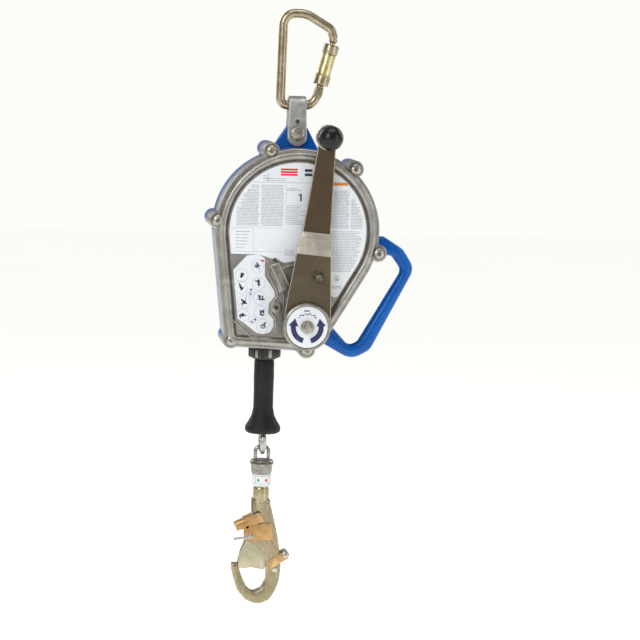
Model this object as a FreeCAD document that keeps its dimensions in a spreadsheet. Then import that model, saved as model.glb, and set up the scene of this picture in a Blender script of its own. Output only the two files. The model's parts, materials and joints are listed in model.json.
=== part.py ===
import FreeCAD, Part
import math
import os

# Self retracting lifeline with a retrieval crank.
# Millimetres. X is to the right, Y runs back into the object and Z is up.
# The origin is the anchor seat, the inside top of the carabiner.

doc = FreeCAD.newDocument("self_retracting_lifeline")
Vector = FreeCAD.Vector
X_AXIS = Vector(1, 0, 0)
Y_AXIS = Vector(0, 1, 0)
Z_AXIS = Vector(0, 0, 1)

# ---------------------------------------------------------------- driving dimensions
DIMENSIONS = [
    ("carabiner_bar", 10.0, "diameter of the carabiner bar"),
    ("gate_rod", 8.0, "diameter of the carabiner gate rod"),
    ("strap_plate", 5.0, "thickness of the suspension strap"),
    ("strap_bolt_size", 10.0, "diameter of the strap bolt shank"),
    ("bolt_x", 2.5, "strap bolt, across"),
    ("bolt_z", -125.5, "strap bolt, height"),
    ("case_x", 2.5, "drum axis, across"),
    ("case_z", -231.0, "drum axis, height"),
    ("case_radius", 90.0, "case around the drum"),
    ("crank_case_radius", 29.6, "case around the crank shaft"),
    ("wall", 5.0, "case wall"),
    ("cover_front", -46.0, "front of the cover rim"),
    ("cover_floor", -43.0, "recessed label floor of the cover"),
    ("cover_inside", -39.5, "inside face of the cover"),
    ("split", -12.0, "joint plane between rear housing and gasket"),
    ("gasket_thickness", 0.8, "cover gasket"),
    ("rear_inside", 48.0, "inside of the rear wall"),
    ("rear_outside", 53.0, "outside of the rear wall"),
    ("rear_pad", 55.0, "rear resting pads"),
    ("lug_thickness", 12.0, "suspension lug"),
    ("handle_thickness", 13.0, "carry handle, front to back"),
    ("crank_offset_x", 9.5, "crank shaft from drum axis, across"),
    ("crank_offset_z", -101.557, "crank shaft from drum axis, height"),
    ("gear_module", 2.0, "gear module"),
    ("drum_teeth", 80, "teeth of the drum gear"),
    ("pinion_teeth", 22, "teeth of the crank pinion"),
    ("gear_width", 8.0, "face width of the drum gear"),
    ("main_shaft_size", 16.0, "diameter of the main shaft"),
    ("bush_size", 22.0, "outside diameter of the drum bushes"),
    ("drum_barrel", 52.0, "diameter of the drum barrel"),
    ("drum_flange", 120.0, "diameter of the drum flanges"),
    ("drum_half", 21.0, "half the width between the flanges"),
    ("flange_thickness", 3.0, "drum flanges"),
    ("coil_size", 102.8, "outside diameter of the wound lifeline"),
    ("rope_size", 4.8, "diameter of the wire rope lifeline"),
    ("rope_x", -26.0, "lifeline where it leaves the case, across"),
    ("roller_x", -37.4, "guide roller, across"),
    ("roller_z", -316.0, "guide roller, height"),
    ("crank_shaft_size", 14.0, "diameter of the crank shaft"),
    ("arm_length", 206.0, "crank shaft to knob"),
    ("arm_lean", 5.3, "lean of the crank arm, degrees"),
    ("arm_thickness", 4.0, "crank arm plate"),
    ("knob_size", 27.0, "diameter of the ball knob"),
    ("bail_rod", 4.3, "diameter of the swivel bail"),
    ("hook_thickness", 10.0, "snap hook plate"),
    ("barrel_size", 18.0, "diameter of the hook barrel"),
]
sheet = doc.addObject("Spreadsheet::Sheet", "Sizes")
for row, (alias, value, note) in enumerate(DIMENSIONS, start=1):
    sheet.set("A%d" % row, note)
    sheet.set("B%d" % row, str(value))
    sheet.setAlias("B%d" % row, alias)
doc.recompute()


def size(alias):
    return float(sheet.get(alias))


CASE = Vector(size("case_x"), 0, size("case_z"))
CRANK = CASE + Vector(size("crank_offset_x"), 0, size("crank_offset_z"))
BOLT = Vector(size("bolt_x"), 0, size("bolt_z"))
ROPE = Vector(size("rope_x"), 0, 0)
ROLLER = Vector(size("roller_x"), 0, size("roller_z"))
parts = []


# ---------------------------------------------------------------- helpers
def keep(obj, label):
    """Name a finished sub-part, which is exported under its label."""
    obj.Label = label
    parts.append(obj)
    return obj


def facing(base, axis):
    return FreeCAD.Placement(base, FreeCAD.Rotation(Z_AXIS, axis))


def primitive(kind, name, place, **expressions):
    obj = doc.addObject("Part::" + kind, name)
    for prop, expression in expressions.items():
        obj.setExpression(prop, expression)
    obj.Placement = place
    return obj


def cylinder(name, radius, height, base, axis=Y_AXIS):
    return primitive("Cylinder", name, facing(base, axis), Radius=radius, Height=height)


def cut(name, base, tool):
    obj = doc.addObject("Part::Cut", name)
    obj.Base = base
    obj.Tool = tool
    return obj


def fuse(name, shapes):
    obj = doc.addObject("Part::MultiFuse", name)
    obj.Shapes = shapes
    return obj


def ring(name, outer, inner, height, base, axis=Y_AXIS):
    longer = "(" + height + ") + 2"
    blank = cylinder(name + "_blank", outer, height, base, axis)
    bore = cylinder(name + "_bore", inner, longer, base - axis, axis)
    return cut(name, blank, bore)


def feature(label, shape):
    """A sub-part whose shape is worked out here from the sheet's sizes."""
    obj = doc.addObject("Part::Feature", label)
    obj.Shape = shape
    obj.Placement = shape.Placement
    return keep(obj, label)


def rounded(corners):
    """Closed run of lines and arcs through corners given as (x, z, radius)."""
    count = len(corners)
    starts = []
    ends = []
    arcs = []
    for i in range(count):
        before = Vector(corners[i - 1][0], corners[i - 1][1], 0)
        here = Vector(corners[i][0], corners[i][1], 0)
        after = Vector(corners[(i + 1) % count][0], corners[(i + 1) % count][1], 0)
        radius = corners[i][2] if len(corners[i]) > 2 else 0
        back = (before - here).normalize()
        ahead = (after - here).normalize()
        if radius == 0:
            starts.append(here)
            ends.append(here)
            arcs.append(None)
            continue
        half = back.getAngle(ahead) / 2
        reach = radius / math.tan(half)
        centre = here + (back + ahead).normalize() * (radius / math.sin(half))
        middle = centre + (here - centre).normalize() * radius
        starts.append(here + back * reach)
        ends.append(here + ahead * reach)
        arcs.append(middle)
    edges = []
    for i in range(count):
        if arcs[i] is not None:
            edges.append(Part.Arc(starts[i], arcs[i], ends[i]))
        following = starts[(i + 1) % count]
        if ends[i].distanceToPoint(following) > 1e-6:
            edges.append(Part.LineSegment(ends[i], following))
    return edges


def standing(geometry, y=0):
    """Turn a flat outline into a wire that stands in an XZ plane at y."""
    wire = Part.Wire([g.toShape() for g in geometry])
    wire.rotate(Vector(), X_AXIS, 90)
    wire.translate(Vector(0, y, 0))
    return wire


def slab(corners, front, back):
    """Solid plate between two Y planes, from rounded corners."""
    face = Part.Face(standing(rounded(corners), front))
    return face.extrude(Vector(0, back - front, 0))


def rod(radius, front, back, centre):
    start = Vector(centre.x, front, centre.z)
    return Part.makeCylinder(radius, back - front, start, Y_AXIS)


def plane_of(body, role):
    for part in body.Origin.OriginFeatures:
        if part.Role == role:
            return part


def lathe(name, profile, base, axis=Z_AXIS):
    """A body turned about an axis through base, from (radius, height) corners."""
    body = doc.addObject("PartDesign::Body", name)
    sketch = body.newObject("Sketcher::SketchObject", name + "_profile")
    sketch.AttachmentSupport = (plane_of(body, "XZ_Plane"), [""])
    sketch.MapMode = "FlatFace"
    sketch.addGeometry(rounded(profile), False)
    turned = body.newObject("PartDesign::Revolution", name + "_turned")
    turned.Profile = sketch
    turned.ReferenceAxis = (sketch, ["V_Axis"])
    turned.Angle = 360
    body.Placement = facing(base, axis)
    return body


def prism(name, flats, height, base, axis, bore=None):
    """A hexagon across flats, with a bore if one is given, for nuts and bolt heads."""
    blank = doc.addObject("Part::Prism", name + "_blank")
    blank.Polygon = 6
    blank.setExpression("Circumradius", flats + " / 2 / cos(30)")
    blank.setExpression("Height", height)
    blank.Placement = facing(base, axis)
    if bore is None:
        return blank
    hole = cylinder(name + "_bore", bore, height + " + 2", base - axis, axis)
    return cut(name, blank, hole)


def wire_path(points, radii):
    """Open path in XZ through (x, z) points, its inner corners rounded."""
    edges = []
    last = Vector(points[0][0], 0, points[0][1])
    for i in range(1, len(points) - 1):
        before = Vector(points[i - 1][0], 0, points[i - 1][1])
        here = Vector(points[i][0], 0, points[i][1])
        after = Vector(points[i + 1][0], 0, points[i + 1][1])
        back = (before - here).normalize()
        ahead = (after - here).normalize()
        half = back.getAngle(ahead) / 2
        reach = radii[i - 1] / math.tan(half)
        centre = here + (back + ahead).normalize() * (radii[i - 1] / math.sin(half))
        middle = centre + (here - centre).normalize() * radii[i - 1]
        start = here + back * reach
        end = here + ahead * reach
        if last.distanceToPoint(start) > 1e-6:
            edges.append(Part.makeLine(last, start))
        edges.append(Part.Arc(start, middle, end).toShape())
        last = end
    edges.append(Part.makeLine(last, Vector(points[-1][0], 0, points[-1][1])))
    return Part.Wire(edges)


def tube(path, radius):
    """Round bar swept along a path."""
    start = path.OrderedEdges[0]
    direction = start.tangentAt(start.FirstParameter)
    profile = Part.Wire(Part.makeCircle(radius, start.valueAt(start.FirstParameter), direction))
    return path.makePipeShell([profile], True, True)


# ---------------------------------------------------------------- case outline
def case_geometry(offset):
    """Outline of the case around drum and crank, grown by offset, about the drum axis."""
    big = size("case_radius") + offset
    small = size("crank_case_radius") + offset
    corner = max(12.0 + offset, 5.0)
    crank = Vector(size("crank_offset_x"), size("crank_offset_z"), 0)
    slant = math.atan2(crank.y, crank.x) + math.acos((big - small) / crank.Length)
    left = math.radians(186.4)
    floor = math.radians(267.0)
    right_top = Vector(math.cos(slant), math.sin(slant), 0) * big
    right_low = crank + Vector(math.cos(slant), math.sin(slant), 0) * small
    left_top = Vector(math.cos(left), math.sin(left), 0) * big
    floor_right = crank + Vector(math.cos(floor), math.sin(floor), 0) * small
    normal_a = Vector(math.cos(left), math.sin(left), 0)
    normal_b = Vector(math.cos(floor), math.sin(floor), 0)
    reach_a = big - corner
    reach_b = floor_right.dot(normal_b) - corner
    spread = normal_a.x * normal_b.y - normal_a.y * normal_b.x
    centre = Vector((reach_a * normal_b.y - reach_b * normal_a.y) / spread,
                    (reach_b * normal_a.x - reach_a * normal_b.x) / spread, 0)
    middle = (left + floor) / 2
    low = (floor + slant + 2 * math.pi) / 2
    return [
        Part.Arc(right_top, Vector(math.cos(1.4), math.sin(1.4), 0) * big, left_top),
        Part.LineSegment(left_top, centre + normal_a * corner),
        Part.Arc(centre + normal_a * corner,
                 centre + Vector(math.cos(middle), math.sin(middle), 0) * corner,
                 centre + normal_b * corner),
        Part.LineSegment(centre + normal_b * corner, floor_right),
        Part.Arc(floor_right, crank + Vector(math.cos(low), math.sin(low), 0) * small, right_low),
        Part.LineSegment(right_low, right_top),
    ]


def case_wire(offset, y):
    wire = standing(case_geometry(offset), y)
    wire.translate(CASE)
    return wire


def case_block(offset, front, back):
    return Part.Face(case_wire(offset, front)).extrude(Vector(0, back - front, 0))


def case_bevel(offset_a, y_a, offset_b, y_b):
    return Part.makeLoft([case_wire(offset_a, y_a), case_wire(offset_b, y_b)], True, True)


def on_case(x, z):
    return CASE + Vector(x, 0, z)


LOBES = [(-31.3, 87.2), (-87.9, 10.8), (61.3, 68.9), (89.5, -22.4), (-69.8, -119.6), (13.3, -129.6)]

# ---------------------------------------------------------------- carabiner
BAR = size("carabiner_bar") / 2
HINGE = Vector(25.1, 0, -83.5)
NOSE = Vector(41.2, 0, -22.0)
GATE_AXIS = (NOSE - HINGE).normalize()
bar_points = [(41.4, -21.6), (38.8, -11.5), (10.5, 5.0), (-14.2, 5.0), (-15.8, -95.2), (18.5, -95.2),
              (25.1, -83.5)]
body = tube(wire_path(bar_points, [9, 25, 13, 8, 13]), BAR)
body = body.fuse(rod(BAR, -2, 2, HINGE))
for front in (-9, 2):
    body = body.cut(rod(6.2, front, front + 7, HINGE))
body = body.cut(rod(1.85, -9, 9, HINGE))
feature("carabiner_body", body)

reach = (NOSE - HINGE).Length
gate = Part.makeCylinder(size("gate_rod") / 2, reach - 8.4, HINGE + GATE_AXIS * 6.2, GATE_AXIS)
for front in (-5.0, 2.3):
    cheek = rod(4.9, front, front + 2.7, HINGE)
    link = Part.makeBox(9.4, 2.7, 10.5, Vector(-4.7, front, 0))
    link.rotate(Vector(), Y_AXIS, math.degrees(math.atan2(GATE_AXIS.x, GATE_AXIS.z)))
    link.translate(HINGE)
    gate = gate.fuse(cheek).fuse(link)
gate = gate.fuse(Part.makeCylinder(4.9, 4.2, HINGE + GATE_AXIS * 6.3, GATE_AXIS))
gate = gate.cut(rod(1.8, -9, 9, HINGE))
feature("carabiner_gate", gate.removeSplitter())
keep(cylinder("rivet", "1.8", "10", HINGE - Y_AXIS * 5), "carabiner_rivet")

sleeve = lathe("sleeve", [(4.05, 0), (7.0, 0), (8.6, 1.6), (8.6, 10), (7.6, 12), (7.6, 31), (8.6, 33),
                          (8.6, 41.4), (7.4, 43), (4.05, 43)], HINGE + GATE_AXIS * 11.5, GATE_AXIS)
keep(sleeve, "carabiner_sleeve")

# ---------------------------------------------------------------- suspension strap
INNER = 6.4
OUTER = INNER + size("strap_plate")
STRAP_TOP = Vector(0, 0, -96.2)


def u_shape(radius):
    low = BOLT.z - 30
    top = STRAP_TOP.z
    edges = [Part.makeLine(Vector(0, radius, low), Vector(0, radius, top)),
             Part.Arc(Vector(0, radius, top), Vector(0, 0, top + radius), Vector(0, -radius, top)).toShape(),
             Part.makeLine(Vector(0, -radius, top), Vector(0, -radius, low)),
             Part.makeLine(Vector(0, -radius, low), Vector(0, radius, low))]
    block = Part.Face(Part.Wire(edges)).extrude(Vector(40, 0, 0))
    block.translate(Vector(-17.5, 0, 0))
    return block


strap = u_shape(OUTER).cut(u_shape(INNER))
front_view = [(-7.2, -80), (12.2, -80), (12.6, -108, 12), (14.1, -139.2, 10.4), (-9.1, -139.2, 10.4),
              (-7.6, -108, 12)]
strap = strap.common(slab(front_view, -20, 20))
strap = strap.cut(rod(5.0, -20, 20, BOLT)).cut(rod(2.75, -20, 20, Vector(2.7, 0, -112.6)))
feature("suspension_strap", strap)

shank = cylinder("bolt_shank", "Sizes.strap_bolt_size / 2", "27.2", BOLT - Y_AXIS * 11.4)
washer = cylinder("bolt_washer", "8.5", "1.2", BOLT - Y_AXIS * 12.6)
head = prism("bolt_head", "13", "5.4", BOLT - Y_AXIS * 18, Y_AXIS)
keep(fuse("strap_bolt_body", [shank, washer, head]), "strap_bolt")
nut = prism("strap_nut_body", "15", "5", BOLT + Y_AXIS * 11.4, Y_AXIS, "Sizes.strap_bolt_size / 2")
keep(nut, "strap_nut")

# ---------------------------------------------------------------- rear housing
SPLIT = size("split")
REAR_IN = size("rear_inside")
REAR = size("rear_outside")
WALL = size("wall")
housing = case_bevel(0, SPLIT, -1, 4)
housing = housing.fuse(case_bevel(-1, 4, -9, REAR - 5))
housing = housing.fuse(case_bevel(-9, REAR - 5, -14, REAR))
for x, z in LOBES:
    housing = housing.fuse(rod(9.5, SPLIT, 12, on_case(x, z)))
half_lug = size("lug_thickness") / 2
lug = slab([(-42, -170), (-6.6, -115.8, 10), (12.4, -115.8, 10), (42, -170)], -half_lug, half_lug)
housing = housing.fuse(lug)
half_handle = size("handle_thickness") / 2
outer_grip = [(80, -8), (100, -6, 8), (123, -20.5, 10), (136.5, -41.5, 12), (89, -133.5, 14),
              (68, -144.5, 14), (24, -120), (52, -84)]
inner_grip = [(70, -27), (109.5, -27.5, 6), (121.2, -43.5, 9), (74.5, -123.5, 8), (65, -129, 8), (38, -97)]
grip = slab(outer_grip, -half_handle, half_handle).cut(slab(inner_grip, -20, 20))
grip.translate(CASE)
grip = max(grip.cut(housing).Solids, key=lambda solid: solid.Volume)
feature("handle_grip", grip)
hollow = case_bevel(-WALL, SPLIT - 5, -WALL - 1, 4).fuse(case_bevel(-WALL - 1, 4, -WALL - 9, REAR_IN))
ledge = case_block(-7.5, 33.2, 36).cut(rod(62, 30, 40, CASE))
open_low = Part.makeBox(200, 20, 60, Vector(-100, 25, CASE.z - 140))
ledge = ledge.cut(open_low)
housing = housing.cut(hollow)
housing = housing.fuse(ledge)
housing = housing.fuse(rod(11.5, 43.5, REAR_IN + 1, CASE))
housing = housing.fuse(rod(13, 16, REAR_IN + 1, CRANK))
housing = housing.fuse(rod(7, 9, REAR_IN + 1, ROLLER))
housing = housing.fuse(rod(4, -8, 4, on_case(-20.5, -113.0)))
housing = housing.fuse(rod(6, 4, REAR_IN + 1, on_case(-20.5, -113.0)))
for x, z in [(-44, 44), (44, 44), (-54, -86), (12, -98)]:
    housing = housing.fuse(rod(9, REAR - 3, size("rear_pad"), on_case(x, z)))
housing = housing.cut(rod(6, 40, 60, CASE)).cut(rod(11, 49.5, 60, CASE))
housing = housing.cut(rod(10, 14, 26, CRANK)).cut(rod(7.3, 26, 38, CRANK))
housing = housing.cut(rod(3, 0, 40, ROLLER)).cut(rod(2.5, -10, 10, on_case(-20.5, -113.0)))
housing = housing.cut(rod(5.05, -20, 20, BOLT))
for x, z in LOBES:
    housing = housing.cut(rod(2.5, SPLIT - 1, 8, on_case(x, z)))
outlet = Part.makeCylinder(13, 30, Vector(ROPE.x, 0, CASE.z - 145), Z_AXIS)
housing = housing.cut(outlet)
feature("rear_housing", housing.removeSplitter())

# ---------------------------------------------------------------- front cover
FRONT = size("cover_front")
FLOOR = size("cover_floor")
INSIDE = size("cover_inside")
BACK = SPLIT - size("gasket_thickness")
cover = case_block(0, FRONT + 4, BACK)
cover = cover.fuse(case_bevel(0, FRONT + 4, -4, FRONT))
for x, z in LOBES:
    cover = cover.fuse(rod(9.5, FRONT + 5, BACK, on_case(x, z)))
cover = cover.cut(case_block(-16, FRONT - 1, FLOOR))
cover = cover.cut(case_block(-WALL, INSIDE, 0))
cover = cover.fuse(rod(14, INSIDE - 1, INSIDE + 2.5, CASE))
cover = cover.cut(rod(8, INSIDE, 0, CASE))
cover = cover.fuse(rod(19, -52, INSIDE + 1, CRANK)).fuse(rod(15, INSIDE, -37.5, CRANK))
ridge = slab([(-22.5, -46, 1), (-13, -41, 1), (-10.8, -60, 1), (-21, -64, 1)], -45.8, FLOOR + 1)
pocket = slab([(-20.6, -48), (-14.8, -45), (-13.2, -57.5), (-19.6, -60)], -47, FLOOR + 0.6)
ridge = ridge.cut(pocket)
ridge.translate(CASE)
tab = slab([(-33.5, -28, 1.5), (-25, -27, 1.5), (-24, -41, 1.5), (-32, -42.5, 1.5)], -44.6, FLOOR + 1)
tab.translate(CASE)
cover = cover.fuse(ridge).fuse(tab)
cover = cover.fuse(rod(6.2, -45.5, FLOOR + 1, on_case(-22, -83))).cut(rod(2.6, -50, -44, on_case(-22, -87)))
cover = cover.cut(rod(10, -60, -30, CRANK))
for x, z in LOBES:
    cover = cover.cut(rod(3.3, FRONT - 5, 0, on_case(x, z))).cut(rod(6.8, FRONT - 5, FRONT + 5, on_case(x, z)))
cover = cover.cut(outlet)
feature("front_cover", cover.removeSplitter())

gasket = case_block(0, BACK, SPLIT).cut(case_block(-WALL, BACK - 1, SPLIT + 1))
for x, z in LOBES:
    gasket = gasket.fuse(rod(9.5, BACK, SPLIT, on_case(x, z)))
gasket = gasket.cut(case_block(-WALL, BACK - 1, SPLIT + 1))
for x, z in LOBES:
    gasket = gasket.cut(rod(3.3, BACK - 1, SPLIT + 1, on_case(x, z)))
gasket = gasket.cut(outlet)
feature("cover_gasket", gasket.removeSplitter())

bolts = []
for x, z in LOBES:
    bolt = rod(6.2, FRONT + 0.2, FRONT + 5, on_case(x, z)).fuse(rod(2.5, FRONT + 4, 4, on_case(x, z)))
    hexagon = Part.makeCylinder(3, 3, Vector(), Y_AXIS)
    hexagon.translate(on_case(x, z) + Y_AXIS * (FRONT - 0.8))
    bolts.append(bolt.cut(hexagon))
feature("cover_bolts", Part.makeCompound(bolts))

# ---------------------------------------------------------------- labels
label = case_block(-19, FLOOR - 0.3, FLOOR)
lower = slab([(-100, -26), (-42, -25.5, 3), (-27, -30, 4), (-14, -34, 3), (-1, -32, 3), (6, -26, 4),
              (34, -56, 12), (44, -69, 4), (58, -64, 3), (100, -56), (100, -200), (-100, -200)], -50, -40)
lower.translate(CASE)
label = label.cut(lower)
label = label.removeSplitter().cut(cover)
feature("main_label", label)
picture = slab([(-55, -26.7, 2), (-42.6, -25.4, 2), (-35.4, -29.5, 3), (-35.2, -48.8, 2), (-24, -66, 2),
                (-24, -71.4, 2), (-30.2, -79, 2), (-30.2, -90, 2), (-24.5, -96, 2), (-24.5, -104, 3),
                (-28.3, -110.5, 3), (-36, -112.4, 3), (-43, -111, 3), (-56, -101, 4), (-67.5, -93, 4),
                (-70, -43, 3)], FLOOR - 0.3, FLOOR)
picture.translate(CASE)
feature("pictogram_label", picture.cut(cover).cut(label))

# ---------------------------------------------------------------- drum and its shaft
HALF = size("drum_half")
FLANGE = size("flange_thickness")
front_end = cylinder("shaft_main", "Sizes.main_shaft_size / 2", "83", CASE + Y_AXIS * INSIDE)
rear_end = cylinder("shaft_rear", "6", "10.5", CASE + Y_AXIS * 43.5)
keep(fuse("main_shaft_body", [front_end, rear_end]), "main_shaft")
keep(ring("shaft_nut_body", "9", "6", "3.5", CASE + Y_AXIS * 49.5), "shaft_nut")

drum_blank = cylinder("drum_barrel_blank", "Sizes.drum_barrel / 2", "2 * Sizes.drum_half", CASE - Y_AXIS * HALF)
drum_front = cylinder("drum_front", "Sizes.drum_flange / 2", "Sizes.flange_thickness",
                      CASE - Y_AXIS * (HALF + FLANGE))
drum_rear = cylinder("drum_rear", "Sizes.drum_flange / 2", "Sizes.flange_thickness", CASE + Y_AXIS * HALF)
drum_hub = cylinder("drum_hub", "20", "5", CASE - Y_AXIS * 28)
drum_sleeve = cylinder("drum_sleeve", "12", "20", CASE + Y_AXIS * 23)
drum_solid = fuse("drum_solid", [drum_blank, drum_front, drum_rear, drum_hub, drum_sleeve])
drum_bore = cylinder("drum_bore", "Sizes.bush_size / 2", "90", CASE - Y_AXIS * 40)
drum = cut("drum_bored", drum_solid, drum_bore)
keep(drum, "drum")

bush_a = ring("bush_front", "Sizes.bush_size / 2", "Sizes.main_shaft_size / 2 + 0.05", "16", CASE - Y_AXIS * 28)
bush_b = ring("bush_rear", "Sizes.bush_size / 2", "Sizes.main_shaft_size / 2 + 0.05", "16", CASE + Y_AXIS * 27)
keep(fuse("bush_pair", [bush_a, bush_b]), "drum_bushes")
keep(ring("coil", "Sizes.coil_size / 2", "Sizes.drum_barrel / 2", "2 * Sizes.drum_half - 1",
          CASE - Y_AXIS * (HALF - 0.5)), "wound_cable")


def gear_blank(teeth, middle, front, back, bore, centre):
    """Involute spur gear with one tooth centred at the angle middle."""
    module = size("gear_module")
    pitch = module * teeth / 2
    base = pitch * math.cos(math.radians(20))
    root = pitch - 1.25 * module
    tip = pitch + 0.95 * module
    at_pitch = math.tan(math.radians(20)) - math.radians(20)
    half_pitch = math.pi / (2 * teeth) - 0.22 / pitch
    flank = []
    for step in range(5):
        radius = max(base, root) + (tip - max(base, root)) * step / 4
        pressure = math.acos(min(1.0, base / radius))
        flank.append((radius, half_pitch + at_pitch - (math.tan(pressure) - pressure)))
    foot = flank[0][1] + 0.004
    corners = []
    for tooth in range(teeth):
        centre_angle = middle + 2 * math.pi * tooth / teeth
        corners.append((root, centre_angle - foot))
        corners += [(radius, centre_angle - half) for radius, half in flank]
        corners += [(radius, centre_angle + half) for radius, half in reversed(flank)]
        corners.append((root, centre_angle + foot))
    points = [Vector(r * math.cos(a), 0, r * math.sin(a)) for r, a in corners]
    face = Part.Face(Part.makePolygon(points + points[:1]))
    solid = face.extrude(Vector(0, back - front, 0))
    solid.translate(centre + Y_AXIS * front)
    return solid.cut(rod(bore, front - 1, back + 1, centre))


toward = math.atan2(size("crank_offset_z"), size("crank_offset_x"))
drum_teeth = int(size("drum_teeth"))
pinion_teeth = int(size("pinion_teeth"))
gear = gear_blank(drum_teeth, toward, -36, -36 + size("gear_width"), 9, CASE)
for step in range(6):
    angle = math.pi / 3 * step + 0.3
    gear = gear.cut(rod(14, -40, -20, CASE + Vector(52 * math.cos(angle), 0, 52 * math.sin(angle))))
screw_spots = [CASE + Vector(15.5 * math.cos(a), 0, 15.5 * math.sin(a))
               for a in (0.5, 0.5 + 2.094, 0.5 + 4.189)]
for spot in screw_spots:
    gear = gear.cut(rod(2, -40, -20, spot)).cut(rod(3.4, -40, -33, spot))
feature("drum_gear", gear)
screws = []
for spot in screw_spots:
    screws.append(rod(3.4, -36, -33, spot).fuse(rod(2, -33, -28, spot)))
feature("gear_screws", Part.makeCompound(screws))

# ---------------------------------------------------------------- lifeline inside the case
ROPE_R = size("rope_size") / 2
coil_path = size("coil_size") / 2 + ROPE_R + 0.2
roller_path = ROPE.x - ROLLER.x
span = ROLLER - CASE
span_angle = math.atan2(span.z, span.x)
leave = span_angle - math.acos((coil_path + roller_path) / span.Length)
leave_dir = Vector(math.cos(leave), 0, math.sin(leave))
coil_point = CASE + leave_dir * coil_path
roller_point = ROLLER - leave_dir * roller_path
side = (leave + math.pi) / 2
bend_dir = (X_AXIS - leave_dir).normalize()
lead_path = Part.Wire([
    Part.makeLine(coil_point, roller_point),
    Part.Arc(roller_point, ROLLER + bend_dir * roller_path, ROLLER + X_AXIS * roller_path).toShape()])
feature("lifeline_lead", tube(lead_path, ROPE_R))

groove = roller_path - ROPE_R - 0.1
roller = lathe("roller", [(3.05, -7), (groove + 3, -7), (groove + 3, -4), (groove, -2.6), (groove, 2.6),
                          (groove + 3, 4), (groove + 3, 7), (3.05, 7)], ROLLER, Y_AXIS)
keep(roller, "guide_roller")
keep(cylinder("roller_axle", "3", "42", ROLLER - Y_AXIS * 8), "guide_roller_pin")

# ---------------------------------------------------------------- power spring and brake
cup = ring("cup_wall", "64", "62.8", "10", CASE + Y_AXIS * 37)
cup_back = ring("cup_back", "64", "13", "1", CASE + Y_AXIS * 47)
keep(fuse("cup_body", [cup, cup_back]), "spring_cup")


def spiral(first, last, turns):
    """Spiral run of half circles about the drum axis, opening from first to last."""
    step = (last - first) / (2 * turns)
    edges = []
    radius = first
    x = first
    for half in range(2 * turns):
        sign = 1 if half % 2 == 0 else -1
        centre = x - sign * radius
        far = centre - sign * radius
        edges.append(Part.Arc(Vector(x, 0, 0), Vector(centre, 0, sign * radius), Vector(far, 0, 0)).toShape())
        x = far
        radius = radius + step
    return edges, x


inner_edges, inner_end = spiral(13.2, 58.0, 9)
outer_edges, outer_end = spiral(14.2, 59.0, 9)
strip = Part.Wire(inner_edges + [Part.makeLine(Vector(inner_end, 0, 0), Vector(outer_end, 0, 0))]
                  + outer_edges[::-1] + [Part.makeLine(Vector(14.2, 0, 0), Vector(13.2, 0, 0))])
spring = Part.Face(strip).extrude(Vector(0, 8, 0))
spring.translate(CASE + Y_AXIS * 38)
feature("power_spring", spring)


def toothed(count, root, tip, lean):
    """Saw-tooth ring outline, as points about the drum axis."""
    points = []
    for tooth in range(count):
        angle = 2 * math.pi * tooth / count
        points.append(Vector(root * math.cos(angle), 0, root * math.sin(angle)))
        angle = angle + 2 * math.pi / count * lean
        points.append(Vector(tip * math.cos(angle), 0, tip * math.sin(angle)))
    return Part.makePolygon(points + points[:1])


teeth = Part.Face(toothed(10, 57, 50.5, 0.12)).extrude(Vector(0, 6, 0))
teeth.translate(CASE + Y_AXIS * 27)
brake = rod(74, 28, 32, CASE).cut(teeth)
feature("brake_ratchet_ring", brake)
disc_a = ring("disc_front", "74", "60", "1.2", CASE + Y_AXIS * 26.8)
disc_b = ring("disc_rear", "74", "62.5", "1.2", CASE + Y_AXIS * 32)
discs = doc.addObject("Part::Compound", "disc_pair")
discs.Links = [disc_a, disc_b]
keep(discs, "friction_discs")
keep(ring("plate_ring", "76", "61", "1.9", CASE + Y_AXIS * 24.9), "brake_pressure_plate")

PAWL_PIVOT = 36.0
pawl_pins = []
for number in range(3):
    turn = 90 + 120 * number
    pawl = slab([(-6, -5, 4), (8, -6, 3), (21, -0.5, 0.8), (19, 4, 0.8), (6, 5.5, 4), (-6, 5, 4)], 28, 31.5)
    pawl = pawl.cut(rod(3.05, 20, 40, Vector()))
    pawl.rotate(Vector(), Y_AXIS, -72)
    pawl.translate(Vector(PAWL_PIVOT, 0, 0))
    pawl.rotate(Vector(), Y_AXIS, -turn)
    pawl.translate(CASE)
    feature("brake_pawl_%d" % (number + 1), pawl)
    angle = math.radians(turn)
    spot = CASE + Vector(PAWL_PIVOT * math.cos(angle), 0, PAWL_PIVOT * math.sin(angle))
    pawl_pins.append(rod(3, 24, 32.5, spot))
feature("pawl_pins", Part.makeCompound(pawl_pins))

# ---------------------------------------------------------------- cable outlet
NOZZLE_TOP = CASE.z - 122
nozzle_profile = [(9, 0), (12.9, 0), (12.9, -9.4), (18, -10.2), (18, -20.5, 2), (13.5, -22.4), (9, -22.4)]
nozzle = lathe("nozzle", nozzle_profile,
               Vector(ROPE.x, 0, NOZZLE_TOP))
nozzle_windows = []
for number, x in enumerate((-7.5, 6.5)):
    window = primitive("Box", "nozzle_window_%d" % number,
                       FreeCAD.Placement(Vector(ROPE.x + x - 1.5, -19, NOZZLE_TOP - 20.5), FreeCAD.Rotation()),
                       Length="3", Width="8", Height="11")
    nozzle_windows.append(window)
nozzle_cut = cut("nozzle_windowed", nozzle, fuse("nozzle_window_pair", nozzle_windows))
keep(nozzle_cut, "cable_nozzle")
guide = lathe("guide_bush", [(3, 0), (9, 0), (9, -22), (5.5, -22), (3, -18)], Vector(ROPE.x, 0, NOZZLE_TOP))
keep(guide, "cable_guide")

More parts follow.
